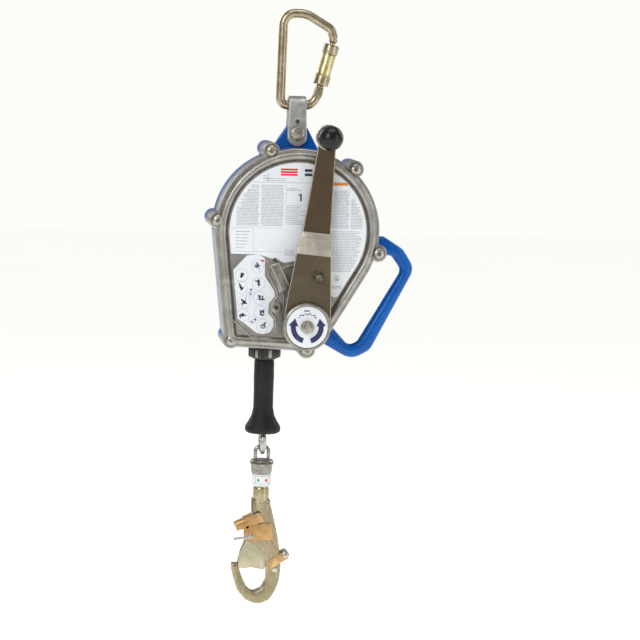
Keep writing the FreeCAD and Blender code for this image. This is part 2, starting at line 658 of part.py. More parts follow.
# ---------------------------------------------------------------- crank shaft
shaft_r = "Sizes.crank_shaft_size / 2"
crank_main = cylinder("crank_main", shaft_r, "96", CRANK - Y_AXIS * 70)
crank_thread = cylinder("crank_thread", "5", "12", CRANK - Y_AXIS * 80)
crank_tail = cylinder("crank_tail", shaft_r, "12", CRANK + Y_AXIS * 25)
keep(fuse("crank_shaft_body", [crank_main, crank_thread, crank_tail]), "crank_shaft")
pinion_angle = toward + math.pi + math.pi / pinion_teeth
feature("crank_pinion", gear_blank(pinion_teeth, pinion_angle, -37, -27, size("crank_shaft_size") / 2, CRANK))
crank_bush_a = ring("crank_bush_front", "10", "Sizes.crank_shaft_size / 2 + 0.05", "14", CRANK - Y_AXIS * 52)
crank_bush_b = ring("crank_bush_rear", "10", "Sizes.crank_shaft_size / 2 + 0.05", "10", CRANK + Y_AXIS * 16)
crank_bushes = doc.addObject("Part::Compound", "crank_bush_pair")
crank_bushes.Links = [crank_bush_a, crank_bush_b]
keep(crank_bushes, "crank_bushes")
wheel = Part.Face(toothed(16, 20, 16.5, 0.9)).extrude(Vector(0, 6, 0))
wheel.translate(CRANK - Y_AXIS * 24)
feature("crank_ratchet_wheel", wheel.cut(rod(size("crank_shaft_size") / 2, -25, -10, CRANK)))
PAWL_SPOT = on_case(-20.5, -113.0)
catch = slab([(-5, -4.5, 4), (3, -5, 3), (11.2, -2.5, 0.8), (11.3, 0.6, 0.8), (4, 4.5, 3), (-5, 4.5, 4)], -24, -18)
catch = catch.cut(rod(2.55, -30, -10, Vector()))
catch.rotate(Vector(), Y_AXIS, 2)
catch.translate(PAWL_SPOT)
feature("crank_ratchet_pawl", catch)
keep(cylinder("ratchet_pin", "2.5", "25", PAWL_SPOT - Y_AXIS * 25), "ratchet_pawl_pin")

# ---------------------------------------------------------------- crank arm
ARM = size("arm_length")
lower_arm = [(-30, -12, 18), (-30, 14, 14), (-20.6, 78), (17.8, 78), (28.5, 13, 14), (29, -12, 18),
             (14, -29.5, 16), (-14, -29.5, 16)]
upper_arm = [(-15.6, 102), (-9.6, ARM - 4, 6), (-9.6, ARM + 10, 9.4), (9.6, ARM + 10, 9.4), (9.6, ARM - 4, 6),
             (15.4, 102)]
THICK = size("arm_thickness")
LOW_Y = -64
UP_Y = -56
arm = slab(lower_arm, LOW_Y, LOW_Y + THICK).fuse(slab(upper_arm, UP_Y, UP_Y + THICK))
joggle = [Vector(-20.6, LOW_Y, 78), Vector(-20.6, LOW_Y + THICK, 78), Vector(-15.6, UP_Y + THICK, 102),
          Vector(-15.6, UP_Y, 102)]
other = [Vector(17.8, LOW_Y, 78), Vector(17.8, LOW_Y + THICK, 78), Vector(15.4, UP_Y + THICK, 102),
         Vector(15.4, UP_Y, 102)]
bend = Part.makeLoft([Part.makePolygon(joggle + joggle[:1]), Part.makePolygon(other + other[:1])], True, True)
arm = arm.fuse(bend)
arm = arm.fuse(rod(13, LOW_Y + THICK - 0.5, -52.4, Vector()))
arm = arm.cut(rod(size("crank_shaft_size") / 2, -70, -40, Vector()))
arm = arm.cut(rod(3, -70, -40, Vector(6, 0, 55))).cut(rod(4, -70, -40, Vector(0, 0, ARM)))
arm.rotate(Vector(), Y_AXIS, size("arm_lean"))
arm.translate(CRANK)
feature("crank_arm", arm.removeSplitter())
lean = math.radians(size("arm_lean"))


def on_arm(x, along):
    return CRANK + Vector(x * math.cos(lean) + along * math.sin(lean), 0,
                          along * math.cos(lean) - x * math.sin(lean))


hub_profile = [(7, 0), (26.5, 0), (27.5, 1), (27.5, 4.5, 1), (24.5, 6), (7, 6)]
hub = lathe("hub_dish", hub_profile, CRANK - Y_AXIS * 64, -Y_AXIS)
keep(hub, "crank_hub_disc")
keep(ring("hub_disc_label", "22.5", "10", "0.3", CRANK - Y_AXIS * 70.3), "hub_label")
nut_washer = ring("hub_washer", "9.6", "5", "1.2", CRANK - Y_AXIS * 71.2)
nut_hex = prism("hub_hex", "15", "6", CRANK - Y_AXIS * 77.2, Y_AXIS, "5")
keep(fuse("hub_nut_body", [nut_washer, nut_hex]), "hub_nut")

plunger = lathe("plunger", [(0, 0), (2.95, 0), (2.95, 17.2), (6.2, 17.2), (6.2, 19.5, 0.8), (4.4, 21), (4.4, 26, 1.2),
                            (0, 26)], on_arm(6, 55) - Y_AXIS * 47, -Y_AXIS)
keep(plunger, "arm_lock_plunger")

KNOB = on_arm(0, ARM)
stud_head = cylinder("stud_head", "8", "3.2", KNOB - Y_AXIS * 52)
stud_rod = cylinder("stud_rod", "4", "39", KNOB - Y_AXIS * 88)
stud_washer = ring("stud_washer", "14", "4", "2", KNOB - Y_AXIS * 58)
keep(fuse("stud_body", [stud_head, stud_rod, stud_washer]), "knob_stud")
ball = primitive("Sphere", "ball", FreeCAD.Placement(KNOB - Y_AXIS * 78, FreeCAD.Rotation()),
                 Radius="Sizes.knob_size / 2")
neck = cylinder("ball_neck", "8", "10", KNOB - Y_AXIS * 68.4)
ball_bore = cylinder("ball_bore", "4.05", "31", KNOB - Y_AXIS * 88.2)
keep(cut("ball_bored", fuse("ball_solid", [ball, neck]), ball_bore), "knob_ball")

# ---------------------------------------------------------------- lifeline outside the case
BUMPER_TOP = -375.8
cable = Part.makeCylinder(ROPE_R, ROLLER.z + 446, Vector(ROPE.x, 0, -446), Z_AXIS)
feature("lifeline_cable", cable)
bumper = lathe("bumper_body", [(2.4, 0), (10.2, 0), (10.8, -2), (10.8, -60, 12), (13.5, -66, 6), (19, -74, 3),
                               (19, -78, 3), (16.8, -82.4), (15.6, -82.4), (15.6, -71), (6, -68), (6, -6), (2.4, -6)],
               Vector(ROPE.x, 0, BUMPER_TOP))
keep(bumper, "bumper")
keep(ring("swage", "5.8", "Sizes.rope_size / 2", "46", Vector(ROPE.x, 0, -434), Z_AXIS), "cable_ferrule")


def eye_wire(radius, top_half, x):
    """Teardrop loop in a YZ plane: round below, drawn in to top_half at the top."""
    centre = -468.5
    top = -448.0
    gap = top - centre
    length = math.hypot(gap, top_half)
    angle = math.atan2(gap, top_half) - math.acos(radius / length)
    touch = Vector(x, radius * math.cos(angle), centre + radius * math.sin(angle))
    other_touch = Vector(x, -touch.y, touch.z)
    right = Vector(x, top_half, top)
    left = Vector(x, -top_half, top)
    edges = [Part.makeLine(right, touch), Part.Arc(touch, Vector(x, 0, centre - radius), other_touch).toShape(),
             Part.makeLine(other_touch, left), Part.makeLine(left, right)]
    return Part.Wire(edges)


eye = Part.Face(eye_wire(14.3, 6.5, -3.4)).extrude(Vector(6.8, 0, 0))
eye = eye.cut(Part.Face(eye_wire(8.0, 1.0, -5)).extrude(Vector(10, 0, 0)))
eye.translate(Vector(ROPE.x, 0, 0))
eye = eye.cut(Part.makeCylinder(ROPE_R, 30, Vector(ROPE.x, 0, -446), Z_AXIS))
feature("thimble", eye)

# ---------------------------------------------------------------- swivel
BAIL = size("bail_rod") / 2
BAIL_Z = -474.2
bail_points = [(-7.35, -492), (-7.35, BAIL_Z), (7.35, BAIL_Z), (7.35, -492)]
bail = tube(wire_path(bail_points, [4.5, 4.5]), BAIL)
bail.translate(Vector(ROPE.x, 0, 0))
feature("swivel_bail", bail)

swivel = lathe("swivel_solid", [(0, -504), (10.4, -504), (11.4, -503), (12.5, -492, 2), (12.5, -489.5, 1), (11, -488),
                                (0, -488)], Vector(ROPE.x, 0, 0))
socket_a = cylinder("bail_socket_a", "Sizes.bail_rod / 2", "10", Vector(ROPE.x - 7.35, 0, -492), Z_AXIS)
socket_b = cylinder("bail_socket_b", "Sizes.bail_rod / 2", "10", Vector(ROPE.x + 7.35, 0, -492), Z_AXIS)
stud_socket = cylinder("stud_socket", "5", "6", Vector(ROPE.x, 0, -505), Z_AXIS)
keep(cut("swivel_drilled", swivel, fuse("swivel_sockets", [socket_a, socket_b, stud_socket])), "swivel_body")
band = lathe("band", [(5, 0), (10.6, 0), (10.6, -1.2), (11, -1.2), (11, -12.4), (10.6, -12.4), (10.6, -13.4), (5, -13.4)],
             Vector(ROPE.x, 0, -504))
keep(band, "impact_indicator")
stud = lathe("stud_turned", [(0, 0), (5, 0), (5, -26), (7, -26), (7, -30, 0.6), (0, -30)], Vector(ROPE.x, 0, -499))
keep(stud, "swivel_stud")

# ---------------------------------------------------------------- snap hook
HOOK = size("hook_thickness") / 2
outline = [(-6, -533), (9.5, -533), (11.8, -542.8, 10), (16.4, -561, 10), (19.6, -575, 12), (21.8, -588, 14),
           (23.8, -608, 14), (22.4, -624, 12), (18, -636, 10), (11.8, -645.6, 10), (-1, -651.4, 14),
           (-15.5, -646, 13), (-24.8, -635, 12), (-29, -621.5, 8), (-31.6, -611, 3), (-31.4, -604.8, 1.5),
           (-25.3, -604.8, 1.5), (-24.9, -611.2, 1.5), (-23.4, -617, 3), (-20.8, -622.5, 5), (-15.4, -632.5, 6),
           (-8, -637.8, 5), (2.4, -633, 6), (7, -624, 6), (7.5, -611, 7), (4.2, -592, 10), (-2, -584, 5),
           (-16, -583, 3), (-16, -567.4, 3), (-2.2, -561.2, 1.2), (-1.2, -552, 3), (-3.5, -540, 4)]
hook = slab(outline, -HOOK, HOOK)
barrel = Part.makeCylinder(size("barrel_size") / 2, 24.5, Vector(0, 0, -542.2), Z_AXIS)
barrel = barrel.fuse(Part.makeSphere(size("barrel_size") / 2, Vector(0, 0, -542.2)))
hook = hook.fuse(barrel)
hook = hook.cut(Part.makeCylinder(5.06, 12, Vector(0, 0, -524.9), Z_AXIS))
hook = hook.cut(Part.makeCylinder(7.2, 5, Vector(0, 0, -529.4), Z_AXIS))
PIVOT = Vector(-11.1, 0, -574.0)
REST_RIVET = Vector(16.3, 0, -610.6)
hook = hook.cut(rod(2.0, -20, 20, PIVOT)).cut(rod(2.0, -20, 20, REST_RIVET))
hook.translate(Vector(ROPE.x, 0, 0))
feature("hook_body", hook.removeSplitter())

gate_plate = [(-14.8, -568, 4), (3, -568, 4), (6.6, -600, 5), (5.6, -611.6, 2), (-10, -608.9, 4), (-17, -610.0, 3),
              (-24.6, -609.2, 1.0), (-24.3, -604, 2), (-21.6, -592, 6), (-16.4, -578.5, 8)]
snap = slab(gate_plate, -7.6, -5.3).fuse(slab(gate_plate, 5.3, 7.6))
spine = slab([(-24.2, -607.6, 1.2), (-21.4, -593, 3), (-18.5, -586, 1.2), (-15.0, -586, 1.2), (-17.4, -593, 3),
              (-20.2, -608.4, 1.2)], -5.4, 5.4)
snap = snap.fuse(spine)
snap = snap.cut(rod(2.04, -20, 20, PIVOT))
snap.translate(Vector(ROPE.x, 0, 0))
feature("hook_gate", snap.removeSplitter())

cheek = [(-17.5, -560.5, 3), (11.7, -559.8, 3), (12.6, -574, 5), (21.2, -586, 5), (31.3, -590.6, 3),
         (31.6, -597.6, 3), (24, -599.5, 4), (10.5, -611.0, 1.5), (6.8, -607.4, 1.5), (15.5, -594, 6), (8.5, -578, 4),
         (-17.5, -577.5, 4)]
lock = slab(cheek, -10.2, -7.9).fuse(slab(cheek, 7.9, 10.2))
web = slab([(-25.5, -566.5, 1), (-28, -561.5, 1), (-13.5, -554.5, 1), (-11.5, -558.5, 1), (-14, -564.8, 1)],
           -10.2, 10.2)
roll = Part.makeCylinder(6.0, 24.5, Vector(-28, 0, -564), Vector(29.2, 0, 13.2))
tail = Part.makeCylinder(1.5, 17, Vector(-14, -9.3, -574.5), Vector(-16.5, 0, -2.0))
lock = lock.fuse(web).fuse(roll).fuse(tail)
for front in (-10.2, 5.6):
    lock = lock.fuse(Part.makeCylinder(4.4, 4.6, Vector(28.3, front, -594.6), Y_AXIS))
lock = lock.cut(rod(2.04, -20, 20, PIVOT)).cut(rod(3.6, -13, -10.2, PIVOT))
lock.translate(Vector(ROPE.x, 0, 0))
feature("hook_lock_lever", lock.removeSplitter())
rivets = []
for centre, half in ((PIVOT, 10.2), (REST_RIVET, 6.4)):
    spot = centre + Vector(ROPE.x, 0, 0)
    rivet = rod(2.0, -half, half, spot)
    for front in (-half - 1.3, half):
        rivet = rivet.fuse(rod(3.4, front, front + 1.3, spot))
    rivets.append(rivet)
feature("hook_rivets", Part.makeCompound(rivets))

# ---------------------------------------------------------------- checks and export
doc.recompute()
os.makedirs("parts", exist_ok=True)
for obj in doc.Objects:
    states = set(obj.State)
    if "Invalid" in states or "Error" in states:
        raise RuntimeError("object failed: " + obj.Label)
labels = [part.Label for part in parts]
if len(set(labels)) != len(labels) or len(parts) > 60:
    raise RuntimeError("labels repeat or there are too many sub-parts")
faulty = [part.Label for part in parts
          if part.Shape.isNull() or not part.Shape.isValid() or part.Shape.Volume <= 0]
if faulty:
    raise RuntimeError("bad shapes: " + ", ".join(faulty))
for part in parts:
    part.Shape.exportStep("parts/" + part.Label + ".step")
print("sub-parts:", len(parts))
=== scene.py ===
import json
import random
from math import acos, atan2, copysign, cos, degrees, hypot, pi, radians, sin, sqrt, tan

import bmesh
import bpy
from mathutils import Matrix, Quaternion, Vector


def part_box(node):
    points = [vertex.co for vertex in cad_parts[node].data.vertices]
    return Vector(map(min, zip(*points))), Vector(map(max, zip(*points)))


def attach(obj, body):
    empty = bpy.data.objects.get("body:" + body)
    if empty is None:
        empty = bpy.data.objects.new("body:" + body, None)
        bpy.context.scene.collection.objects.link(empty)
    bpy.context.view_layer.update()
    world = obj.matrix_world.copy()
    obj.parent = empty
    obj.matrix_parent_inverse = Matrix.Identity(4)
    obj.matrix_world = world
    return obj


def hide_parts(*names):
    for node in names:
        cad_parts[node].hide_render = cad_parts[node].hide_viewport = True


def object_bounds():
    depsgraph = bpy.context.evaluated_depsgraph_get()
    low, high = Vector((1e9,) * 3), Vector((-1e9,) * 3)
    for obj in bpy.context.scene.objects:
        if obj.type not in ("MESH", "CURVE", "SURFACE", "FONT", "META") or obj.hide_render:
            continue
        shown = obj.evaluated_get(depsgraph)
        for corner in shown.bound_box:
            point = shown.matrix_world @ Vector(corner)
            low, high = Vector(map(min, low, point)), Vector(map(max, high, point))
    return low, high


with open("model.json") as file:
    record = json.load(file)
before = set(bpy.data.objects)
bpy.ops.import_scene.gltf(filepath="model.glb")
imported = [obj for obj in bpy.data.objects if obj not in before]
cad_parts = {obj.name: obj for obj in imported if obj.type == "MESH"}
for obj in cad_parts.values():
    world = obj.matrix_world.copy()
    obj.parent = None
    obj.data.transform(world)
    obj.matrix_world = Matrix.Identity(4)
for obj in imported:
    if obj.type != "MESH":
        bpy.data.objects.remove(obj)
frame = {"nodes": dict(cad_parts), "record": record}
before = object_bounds()
nodes = frame["nodes"]
dice = random.Random(11)

# ---------------------------------------------------------------- places, in millimetres
AXIS = 0.02  # the radius that stands for the axis itself in a turned profile
FRONTWARD = Vector((0, -1, 0))
REARWARD = Vector((0, 1, 0))
UP = Vector((0, 0, 1))


def low(node):
    return Vector(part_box(node)[0]) * 1000


def high(node):
    return Vector(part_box(node)[1]) * 1000


def middle(node):
    return (low(node) + high(node)) / 2


def flat(point):
    return Vector((point.x, 0, point.z))


CASE = flat(middle("main_shaft"))
CRANK = flat(middle("crank_shaft"))
BOLT = flat(middle("strap_bolt"))
ROPE = Vector((middle("lifeline_cable").x, 0, 0))
KNOB = flat(middle("knob_stud"))
PLUNGER = flat(middle("arm_lock_plunger"))
ARM_UP = (KNOB - CRANK).normalized()
ARM_SIDE = Vector((ARM_UP.z, 0, -ARM_UP.x))
SPLIT = low("rear_housing").y
BACK = high("rear_housing").y
FLOOR = high("main_label").y
LOBES = [CASE + Vector((x, 0, z)) for x, z in ((-31.3, 87.2), (-87.9, 10.8), (61.3, 68.9), (89.5, -22.4),
                                               (-69.8, -119.6), (13.3, -129.6))]  # the six screw lugs

# ---------------------------------------------------------------- materials


def add(tree, kind, **inputs):
    """A new shader node; each named input is linked to a socket or set to a value."""
    made = tree.nodes.new("ShaderNode" + kind)
    for name, value in inputs.items():
        socket = made.inputs[name.replace("_", " ")]
        if isinstance(value, bpy.types.NodeSocket):
            tree.links.new(value, socket)
        else:
            socket.default_value = value
    return made


def ramp(tree, source, stops):
    """Colour ramp over three (position, colour) stops."""
    node = add(tree, "ValToRGB", Fac=source)
    (first, dark), (place, colour), (last, light) = stops
    for end, position, tone in ((0, first, dark), (1, last, light)):
        node.color_ramp.elements[end].position = position
        node.color_ramp.elements[end].color = (*tone, 1)
    node.color_ramp.elements.new(place).color = (*colour, 1)
    return node.outputs["Color"]


def mapped(tree, scale, turn=(0, 0, 0)):
    place = add(tree, "TexCoord").outputs["Object"]
    return add(tree, "Mapping", Scale=scale, Rotation=turn, Vector=place).outputs["Vector"]


def noise(tree, scale, detail=4.0, vector=None, distortion=0.0):
    vector = vector or mapped(tree, (scale, scale, scale))
    return add(tree, "TexNoise", Scale=1.0, Detail=detail, Roughness=0.55, Distortion=distortion,
        Vector=vector).outputs["Fac"]


def blend(tree, amount, first, second):
    """The first colour, mixed with the second by the amount."""
    node = tree.nodes.new("ShaderNodeMix")
    node.data_type = "RGBA"
    tree.links.new(amount, node.inputs["Factor"])
    tree.links.new(first, node.inputs["A"])
    node.inputs["B"].default_value = (*second, 1)
    return node.outputs["Result"]


def spread(tree, source, lowest, highest, start=0.3, end=0.7):
    """The source's range from start to end, stretched to lowest to highest."""
    return add(tree, "MapRange", From_Min=start, From_Max=end, To_Min=lowest, To_Max=highest,
        Value=source).outputs["Result"]


def surface(name, base, dark, light, metal, rough, blotch=60, grain=1500, bump=0.1, brushed=None, wear=None,
        coat=0.0, scratch=None, specular=None):
    """Procedural finish: blotches, fine grain, brushed lines, scratches and worn edges."""
    mat = bpy.data.materials.new(name)
    mat.use_nodes = True
    tree = mat.node_tree
    shader = tree.nodes["Principled BSDF"]
    cloud = noise(tree, blotch, 5.0, distortion=0.6)
    colour = ramp(tree, cloud, [(0.30, dark), (0.52, base), (0.72, light)])
    height = noise(tree, grain, 3.0)
    colour = blend(tree, spread(tree, height, 0.0, 0.22), colour, dark)
    if brushed:
        height = noise(tree, 1, 2.0, mapped(tree, brushed))
        colour = blend(tree, spread(tree, height, 0.0, 0.35, 0.35, 0.65), colour, light)
    if scratch:
        thin = noise(tree, 1, 1.0, mapped(tree, (900, 900, 60), (0.5, 0.9, 0.3)))
        colour = blend(tree, spread(tree, thin, 0.0, 0.8, 0.66, 0.72), colour, scratch)
    if wear:
        geometry = tree.nodes.new("ShaderNodeNewGeometry")
        patchy = noise(tree, 500, 3.0)
        edge = tree.nodes.new("ShaderNodeMath")
        edge.operation = "MULTIPLY"
        tree.links.new(spread(tree, geometry.outputs["Pointiness"], 0.0, 1.0, 0.515, 0.60), edge.inputs[0])
        tree.links.new(spread(tree, patchy, 0.2, 1.0, 0.4, 0.6), edge.inputs[1])
        colour = blend(tree, edge.outputs["Value"], colour, wear)
    tree.links.new(colour, shader.inputs["Base Color"])
    smear = noise(tree, blotch * 3.1, 4.0)
    tree.links.new(spread(tree, smear, rough[0], rough[1]), shader.inputs["Roughness"])
    shader.inputs["Metallic"].default_value = metal
    shader.inputs["Coat Weight"].default_value = coat
    shader.inputs["Coat Roughness"].default_value = 0.12
    if specular is not None:
        shader.inputs["Specular IOR Level"].default_value = specular
    relief = add(tree, "Bump", Strength=bump, Distance=0.0004, Height=height).outputs["Normal"]
    soft = add(tree, "Bump", Strength=bump * 0.6, Distance=0.001, Height=cloud, Normal=relief)
    tree.links.new(soft.outputs["Normal"], shader.inputs["Normal"])
    return mat


# slot: name, middle, dark and light tone, metallic, roughness, blotch size, grain, bump, special features
FINISHES = {
    "zinc_steel": ("zinc_plate", (0.42, 0.355, 0.245), (0.3, 0.24, 0.155), (0.55, 0.49, 0.37),
        1.0, (0.24, 0.36), 60, 1400, 0.05, {}),
    "zinc_knurl": ("zinc_gold", (0.62, 0.54, 0.3), (0.44, 0.37, 0.18), (0.74, 0.68, 0.46),
        1.0, (0.26, 0.42), 120, 1800, 0.12, {}),
    "bolt_steel": ("bolt_steel", (0.42, 0.39, 0.34), (0.29, 0.265, 0.23), (0.56, 0.53, 0.48),
        1.0, (0.26, 0.42), 150, 1600, 0.12, {}),
    "strap_steel": ("strap_steel", (0.43, 0.43, 0.415), (0.31, 0.31, 0.3), (0.56, 0.56, 0.545),
        0.9, (0.38, 0.52), 110, 1500, 0.2, dict(wear=(0.62, 0.61, 0.58))),
    "blue_paint": ("blue_gloss", (0.001, 0.1, 0.42), (0.001, 0.08, 0.345), (0.002, 0.122, 0.5),
        0.0, (0.2, 0.3), 45, 900, 0.05, dict(coat=0.12, specular=0.18)),
    "cast_cover": ("cast_alloy", (0.315, 0.305, 0.285), (0.225, 0.215, 0.195), (0.43, 0.42, 0.395),
        0.85, (0.3, 0.42), 55, 1300, 0.22, dict(wear=(0.58, 0.54, 0.49))),
    "gasket_rubber": ("gasket", (0.02, 0.02, 0.02), (0.012, 0.012, 0.012), (0.035, 0.035, 0.035),
        0.0, (0.6, 0.8), 200, 2000, 0.15, {}),
    "label_film": ("label_film", (0.73, 0.76, 0.8), (0.685, 0.71, 0.755), (0.78, 0.8, 0.825),
        0.0, (0.24, 0.36), 30, 1500, 0.02, dict(coat=0.25)),
    "gear_steel": ("gear_steel", (0.38, 0.38, 0.38), (0.28, 0.28, 0.28), (0.5, 0.5, 0.5),
        1.0, (0.3, 0.45), 120, 1500, 0.12, {}),
    "cast_drum": ("drum_cast", (0.48, 0.48, 0.48), (0.38, 0.38, 0.38), (0.58, 0.58, 0.58),
        0.8, (0.4, 0.55), 80, 1200, 0.2, {}),
    "bush_bronze": ("bronze", (0.42, 0.26, 0.11), (0.3, 0.18, 0.07), (0.55, 0.37, 0.18),
        1.0, (0.3, 0.45), 120, 1500, 0.12, {}),
    "wire_rope": ("wire", (0.5, 0.5, 0.49), (0.34, 0.34, 0.33), (0.66, 0.66, 0.65),
        1.0, (0.24, 0.38), 300, 2500, 0.1, {}),
    "friction_lining": ("lining", (0.1, 0.08, 0.06), (0.06, 0.05, 0.04), (0.16, 0.13, 0.1),
        0.0, (0.7, 0.85), 300, 2000, 0.3, {}),
    "black_plastic": ("black_plastic", (0.02, 0.02, 0.021), (0.013, 0.013, 0.014), (0.04, 0.04, 0.042),
        0.0, (0.34, 0.5), 150, 1800, 0.15, dict(wear=(0.09, 0.09, 0.09))),
    "dark_arm": ("arm_bronze", (0.082, 0.053, 0.029), (0.066, 0.042, 0.022), (0.104, 0.07, 0.041),
        0.6, (0.42, 0.52), 30, 900, 0.08, dict(brushed=(60, 700, 700))),
    "arm_lower": ("arm_lower", (0.102, 0.078, 0.048), (0.082, 0.062, 0.037), (0.128, 0.101, 0.066),
        0.6, (0.42, 0.52), 30, 900, 0.08, dict(brushed=(60, 700, 700))),
    "arm_edge": ("arm_edge", (0.42, 0.36, 0.28), (0.32, 0.27, 0.21), (0.52, 0.46, 0.38),
        0.8, (0.32, 0.44), 90, 1500, 0.08, {}),
    # arm_bend: painted highlight, a lighter copy of the arm finish for the sloped bend that catches the light
    # from above
    "arm_bend": ("arm_bend", (0.46, 0.41, 0.34), (0.36, 0.32, 0.26), (0.66, 0.61, 0.53),
        0.6, (0.34, 0.44), 40, 1200, 0.06, dict(brushed=(40, 500, 500))),
    "hub_metal": ("hub_alloy", (0.3, 0.285, 0.255), (0.2, 0.19, 0.165), (0.44, 0.42, 0.385),
        0.9, (0.3, 0.44), 100, 1500, 0.12, dict(wear=(0.7, 0.68, 0.64))),
    "plunger_steel": ("plunger_steel", (0.12, 0.1, 0.075), (0.07, 0.055, 0.04), (0.2, 0.17, 0.13),
        0.9, (0.28, 0.42), 200, 1800, 0.12, dict(wear=(0.4, 0.36, 0.3))),
    "knob_black": ("knob_black", (0.006, 0.006, 0.006), (0.004, 0.004, 0.004), (0.01, 0.01, 0.01),
        0.0, (0.22, 0.3), 80, 1500, 0.03, dict(specular=0.35)),
    "bumper_rubber": ("bumper_rubber", (0.009, 0.009, 0.009), (0.005, 0.005, 0.005), (0.017, 0.017, 0.017),
        0.0, (0.5, 0.66), 90, 1500, 0.25, dict(specular=0.3)),
    "plated_steel": ("nickel_plate", (0.31, 0.3, 0.275), (0.18, 0.175, 0.16), (0.48, 0.465, 0.44),
        1.0, (0.2, 0.34), 120, 1600, 0.1, {}),
    "cup_nickel": ("cup_nickel", (0.29, 0.28, 0.255), (0.18, 0.175, 0.16), (0.42, 0.41, 0.385),
        0.9, (0.26, 0.4), 120, 1600, 0.1, {}),
    "eye_steel": ("eye_steel", (0.52, 0.51, 0.48), (0.38, 0.37, 0.35), (0.64, 0.63, 0.6),
        0.8, (0.26, 0.4), 120, 1600, 0.1, {}),
    "indicator_white": ("indicator_white", (0.78, 0.79, 0.78), (0.66, 0.68, 0.68), (0.84, 0.84, 0.83),
        0.0, (0.3, 0.42), 200, 1800, 0.06, dict(coat=0.2)),
    "hook_zinc": ("chromate_green", (0.335, 0.275, 0.165), (0.235, 0.225, 0.125), (0.49, 0.335, 0.24),
        0.8, (0.3, 0.46), 34, 1500, 0.14, dict(wear=(0.72, 0.66, 0.48), scratch=(0.66, 0.58, 0.4))),
    "gate_zinc": ("chromate_pale", (0.46, 0.43, 0.3), (0.32, 0.32, 0.21), (0.58, 0.5, 0.37),
        0.85, (0.3, 0.46), 42, 1500, 0.14, dict(wear=(0.78, 0.72, 0.56), scratch=(0.7, 0.62, 0.46))),
    "lever_orange": ("chromate_orange", (0.53, 0.315, 0.135), (0.4, 0.225, 0.085), (0.68, 0.49, 0.28),
        0.75, (0.28, 0.44), 60, 1500, 0.14, {}),
    "barrel_gold": ("chromate_gold", (0.42, 0.37, 0.22), (0.3, 0.26, 0.14), (0.56, 0.52, 0.37),
        0.95, (0.24, 0.38), 70, 1500, 0.1, {}),
    "rivet_steel": ("rivet_steel", (0.52, 0.49, 0.43), (0.38, 0.35, 0.3), (0.68, 0.65, 0.6),
        1.0, (0.24, 0.38), 200, 1600, 0.1, {}),
    # recess: painted shade, a dark finish laid in holes, sockets and gaps where shade falls
    "recess": ("recess_dark", (0.06, 0.05, 0.042), (0.04, 0.034, 0.028), (0.09, 0.078, 0.066),
        0.3, (0.6, 0.8), 200, 1500, 0.2, {}),
}
MATS = {slot: surface(*row[:-1], **row[-1]) for slot, row in FINISHES.items()}
INKS = {
    "ink_grey": ((0.37, 0.37, 0.4), (0.29, 0.29, 0.32), (0.47, 0.47, 0.5), 0.45),
    "ink_black": ((0.03, 0.03, 0.035), (0.02, 0.02, 0.025), (0.06, 0.06, 0.065), 0.4),
    "ink_red": ((0.72, 0.02, 0.03), (0.62, 0.015, 0.02), (0.78, 0.05, 0.05), 0.4),
    "ink_orange": ((0.7, 0.22, 0.04), (0.6, 0.17, 0.03), (0.78, 0.3, 0.08), 0.4),
    "ink_blue": ((0.02, 0.025, 0.11), (0.012, 0.016, 0.08), (0.04, 0.045, 0.16), 0.42),
    "ink_pale": ((0.42, 0.46, 0.6), (0.34, 0.38, 0.54), (0.52, 0.55, 0.66), 0.42),
    "ink_green": ((0.05, 0.42, 0.3), (0.04, 0.34, 0.24), (0.1, 0.5, 0.38), 0.4),
}
for slot, (middle_tone, dark_tone, light_tone, dullest) in INKS.items():
    MATS[slot] = surface(slot, middle_tone, dark_tone, light_tone, 0.0, (0.3, dullest), 200, 2500, 0.02)

# ---------------------------------------------------------------- outlines


def fillet(corners, closed=True, turn=9.0):
    """Corners (a, b, radius) to a list of flat points with the corners rounded."""
    points = []
    count = len(corners)
    for index in range(count):
        here = Vector(corners[index][:2])
        radius = corners[index][2] if len(corners[index]) > 2 else 0
        if radius <= 0 or (not closed and index in (0, count - 1)):
            points.append(here)
            continue
        back = (Vector(corners[index - 1][:2]) - here).normalized()
        ahead = (Vector(corners[(index + 1) % count][:2]) - here).normalized()
        half = back.angle(ahead) / 2
        centre = here + (back + ahead).normalized() * (radius / sin(half))
        first = here + back * (radius / tan(half)) - centre
        last = here + ahead * (radius / tan(half)) - centre
        start = atan2(first.y, first.x)
        sweep = atan2(last.y, last.x) - start
        sweep = (sweep + pi) % (2 * pi) - pi
        steps = max(2, int(abs(degrees(sweep)) / turn))
        for step in range(steps + 1):
            angle = start + sweep * step / steps
            points.append(centre + Vector((cos(angle), sin(angle))) * radius)
    return points


def leftward(loop):
    """The loop, turned so that its inside is on the left."""
    area = sum(loop[i - 1].x * loop[i].y - loop[i].x * loop[i - 1].y for i in range(len(loop)))
    return loop if area > 0 else list(reversed(loop))


def shrink(loop, depth):
    """The loop, drawn in by the depth."""
    if abs(depth) < 1e-6:
        return list(loop)
    result = []
    for index in range(len(loop)):
        one = loop[index] - loop[index - 1]
        two = loop[(index + 1) % len(loop)] - loop[index]
        if one.length < 1e-6:
            one = two
        if two.length < 1e-6:
            two = one
        first = Vector((-one.y, one.x)).normalized()
        second = Vector((-two.y, two.x)).normalized()
        mitre = first + second
        mitre = mitre.normalized() if mitre.length > 1e-4 else first
        result.append(loop[index] + mitre * (depth / max(0.5, mitre.dot(first))))
    return result


def spaced(points, count, closed=False):
    """The same line with its points evenly spaced."""
    line = list(points) + ([points[0]] if closed else [])
    marks = [0.0]
    for index in range(1, len(line)):
        marks.append(marks[-1] + (line[index] - line[index - 1]).length)
    result = []
    place = 0
    for step in range(count):
        want = marks[-1] * step / (count if closed else count - 1)
        while place < len(marks) - 2 and marks[place + 1] < want:
            place += 1
        share = (want - marks[place]) / max(1e-9, marks[place + 1] - marks[place])
        result.append(line[place].lerp(line[place + 1], min(1.0, share)))
    return result


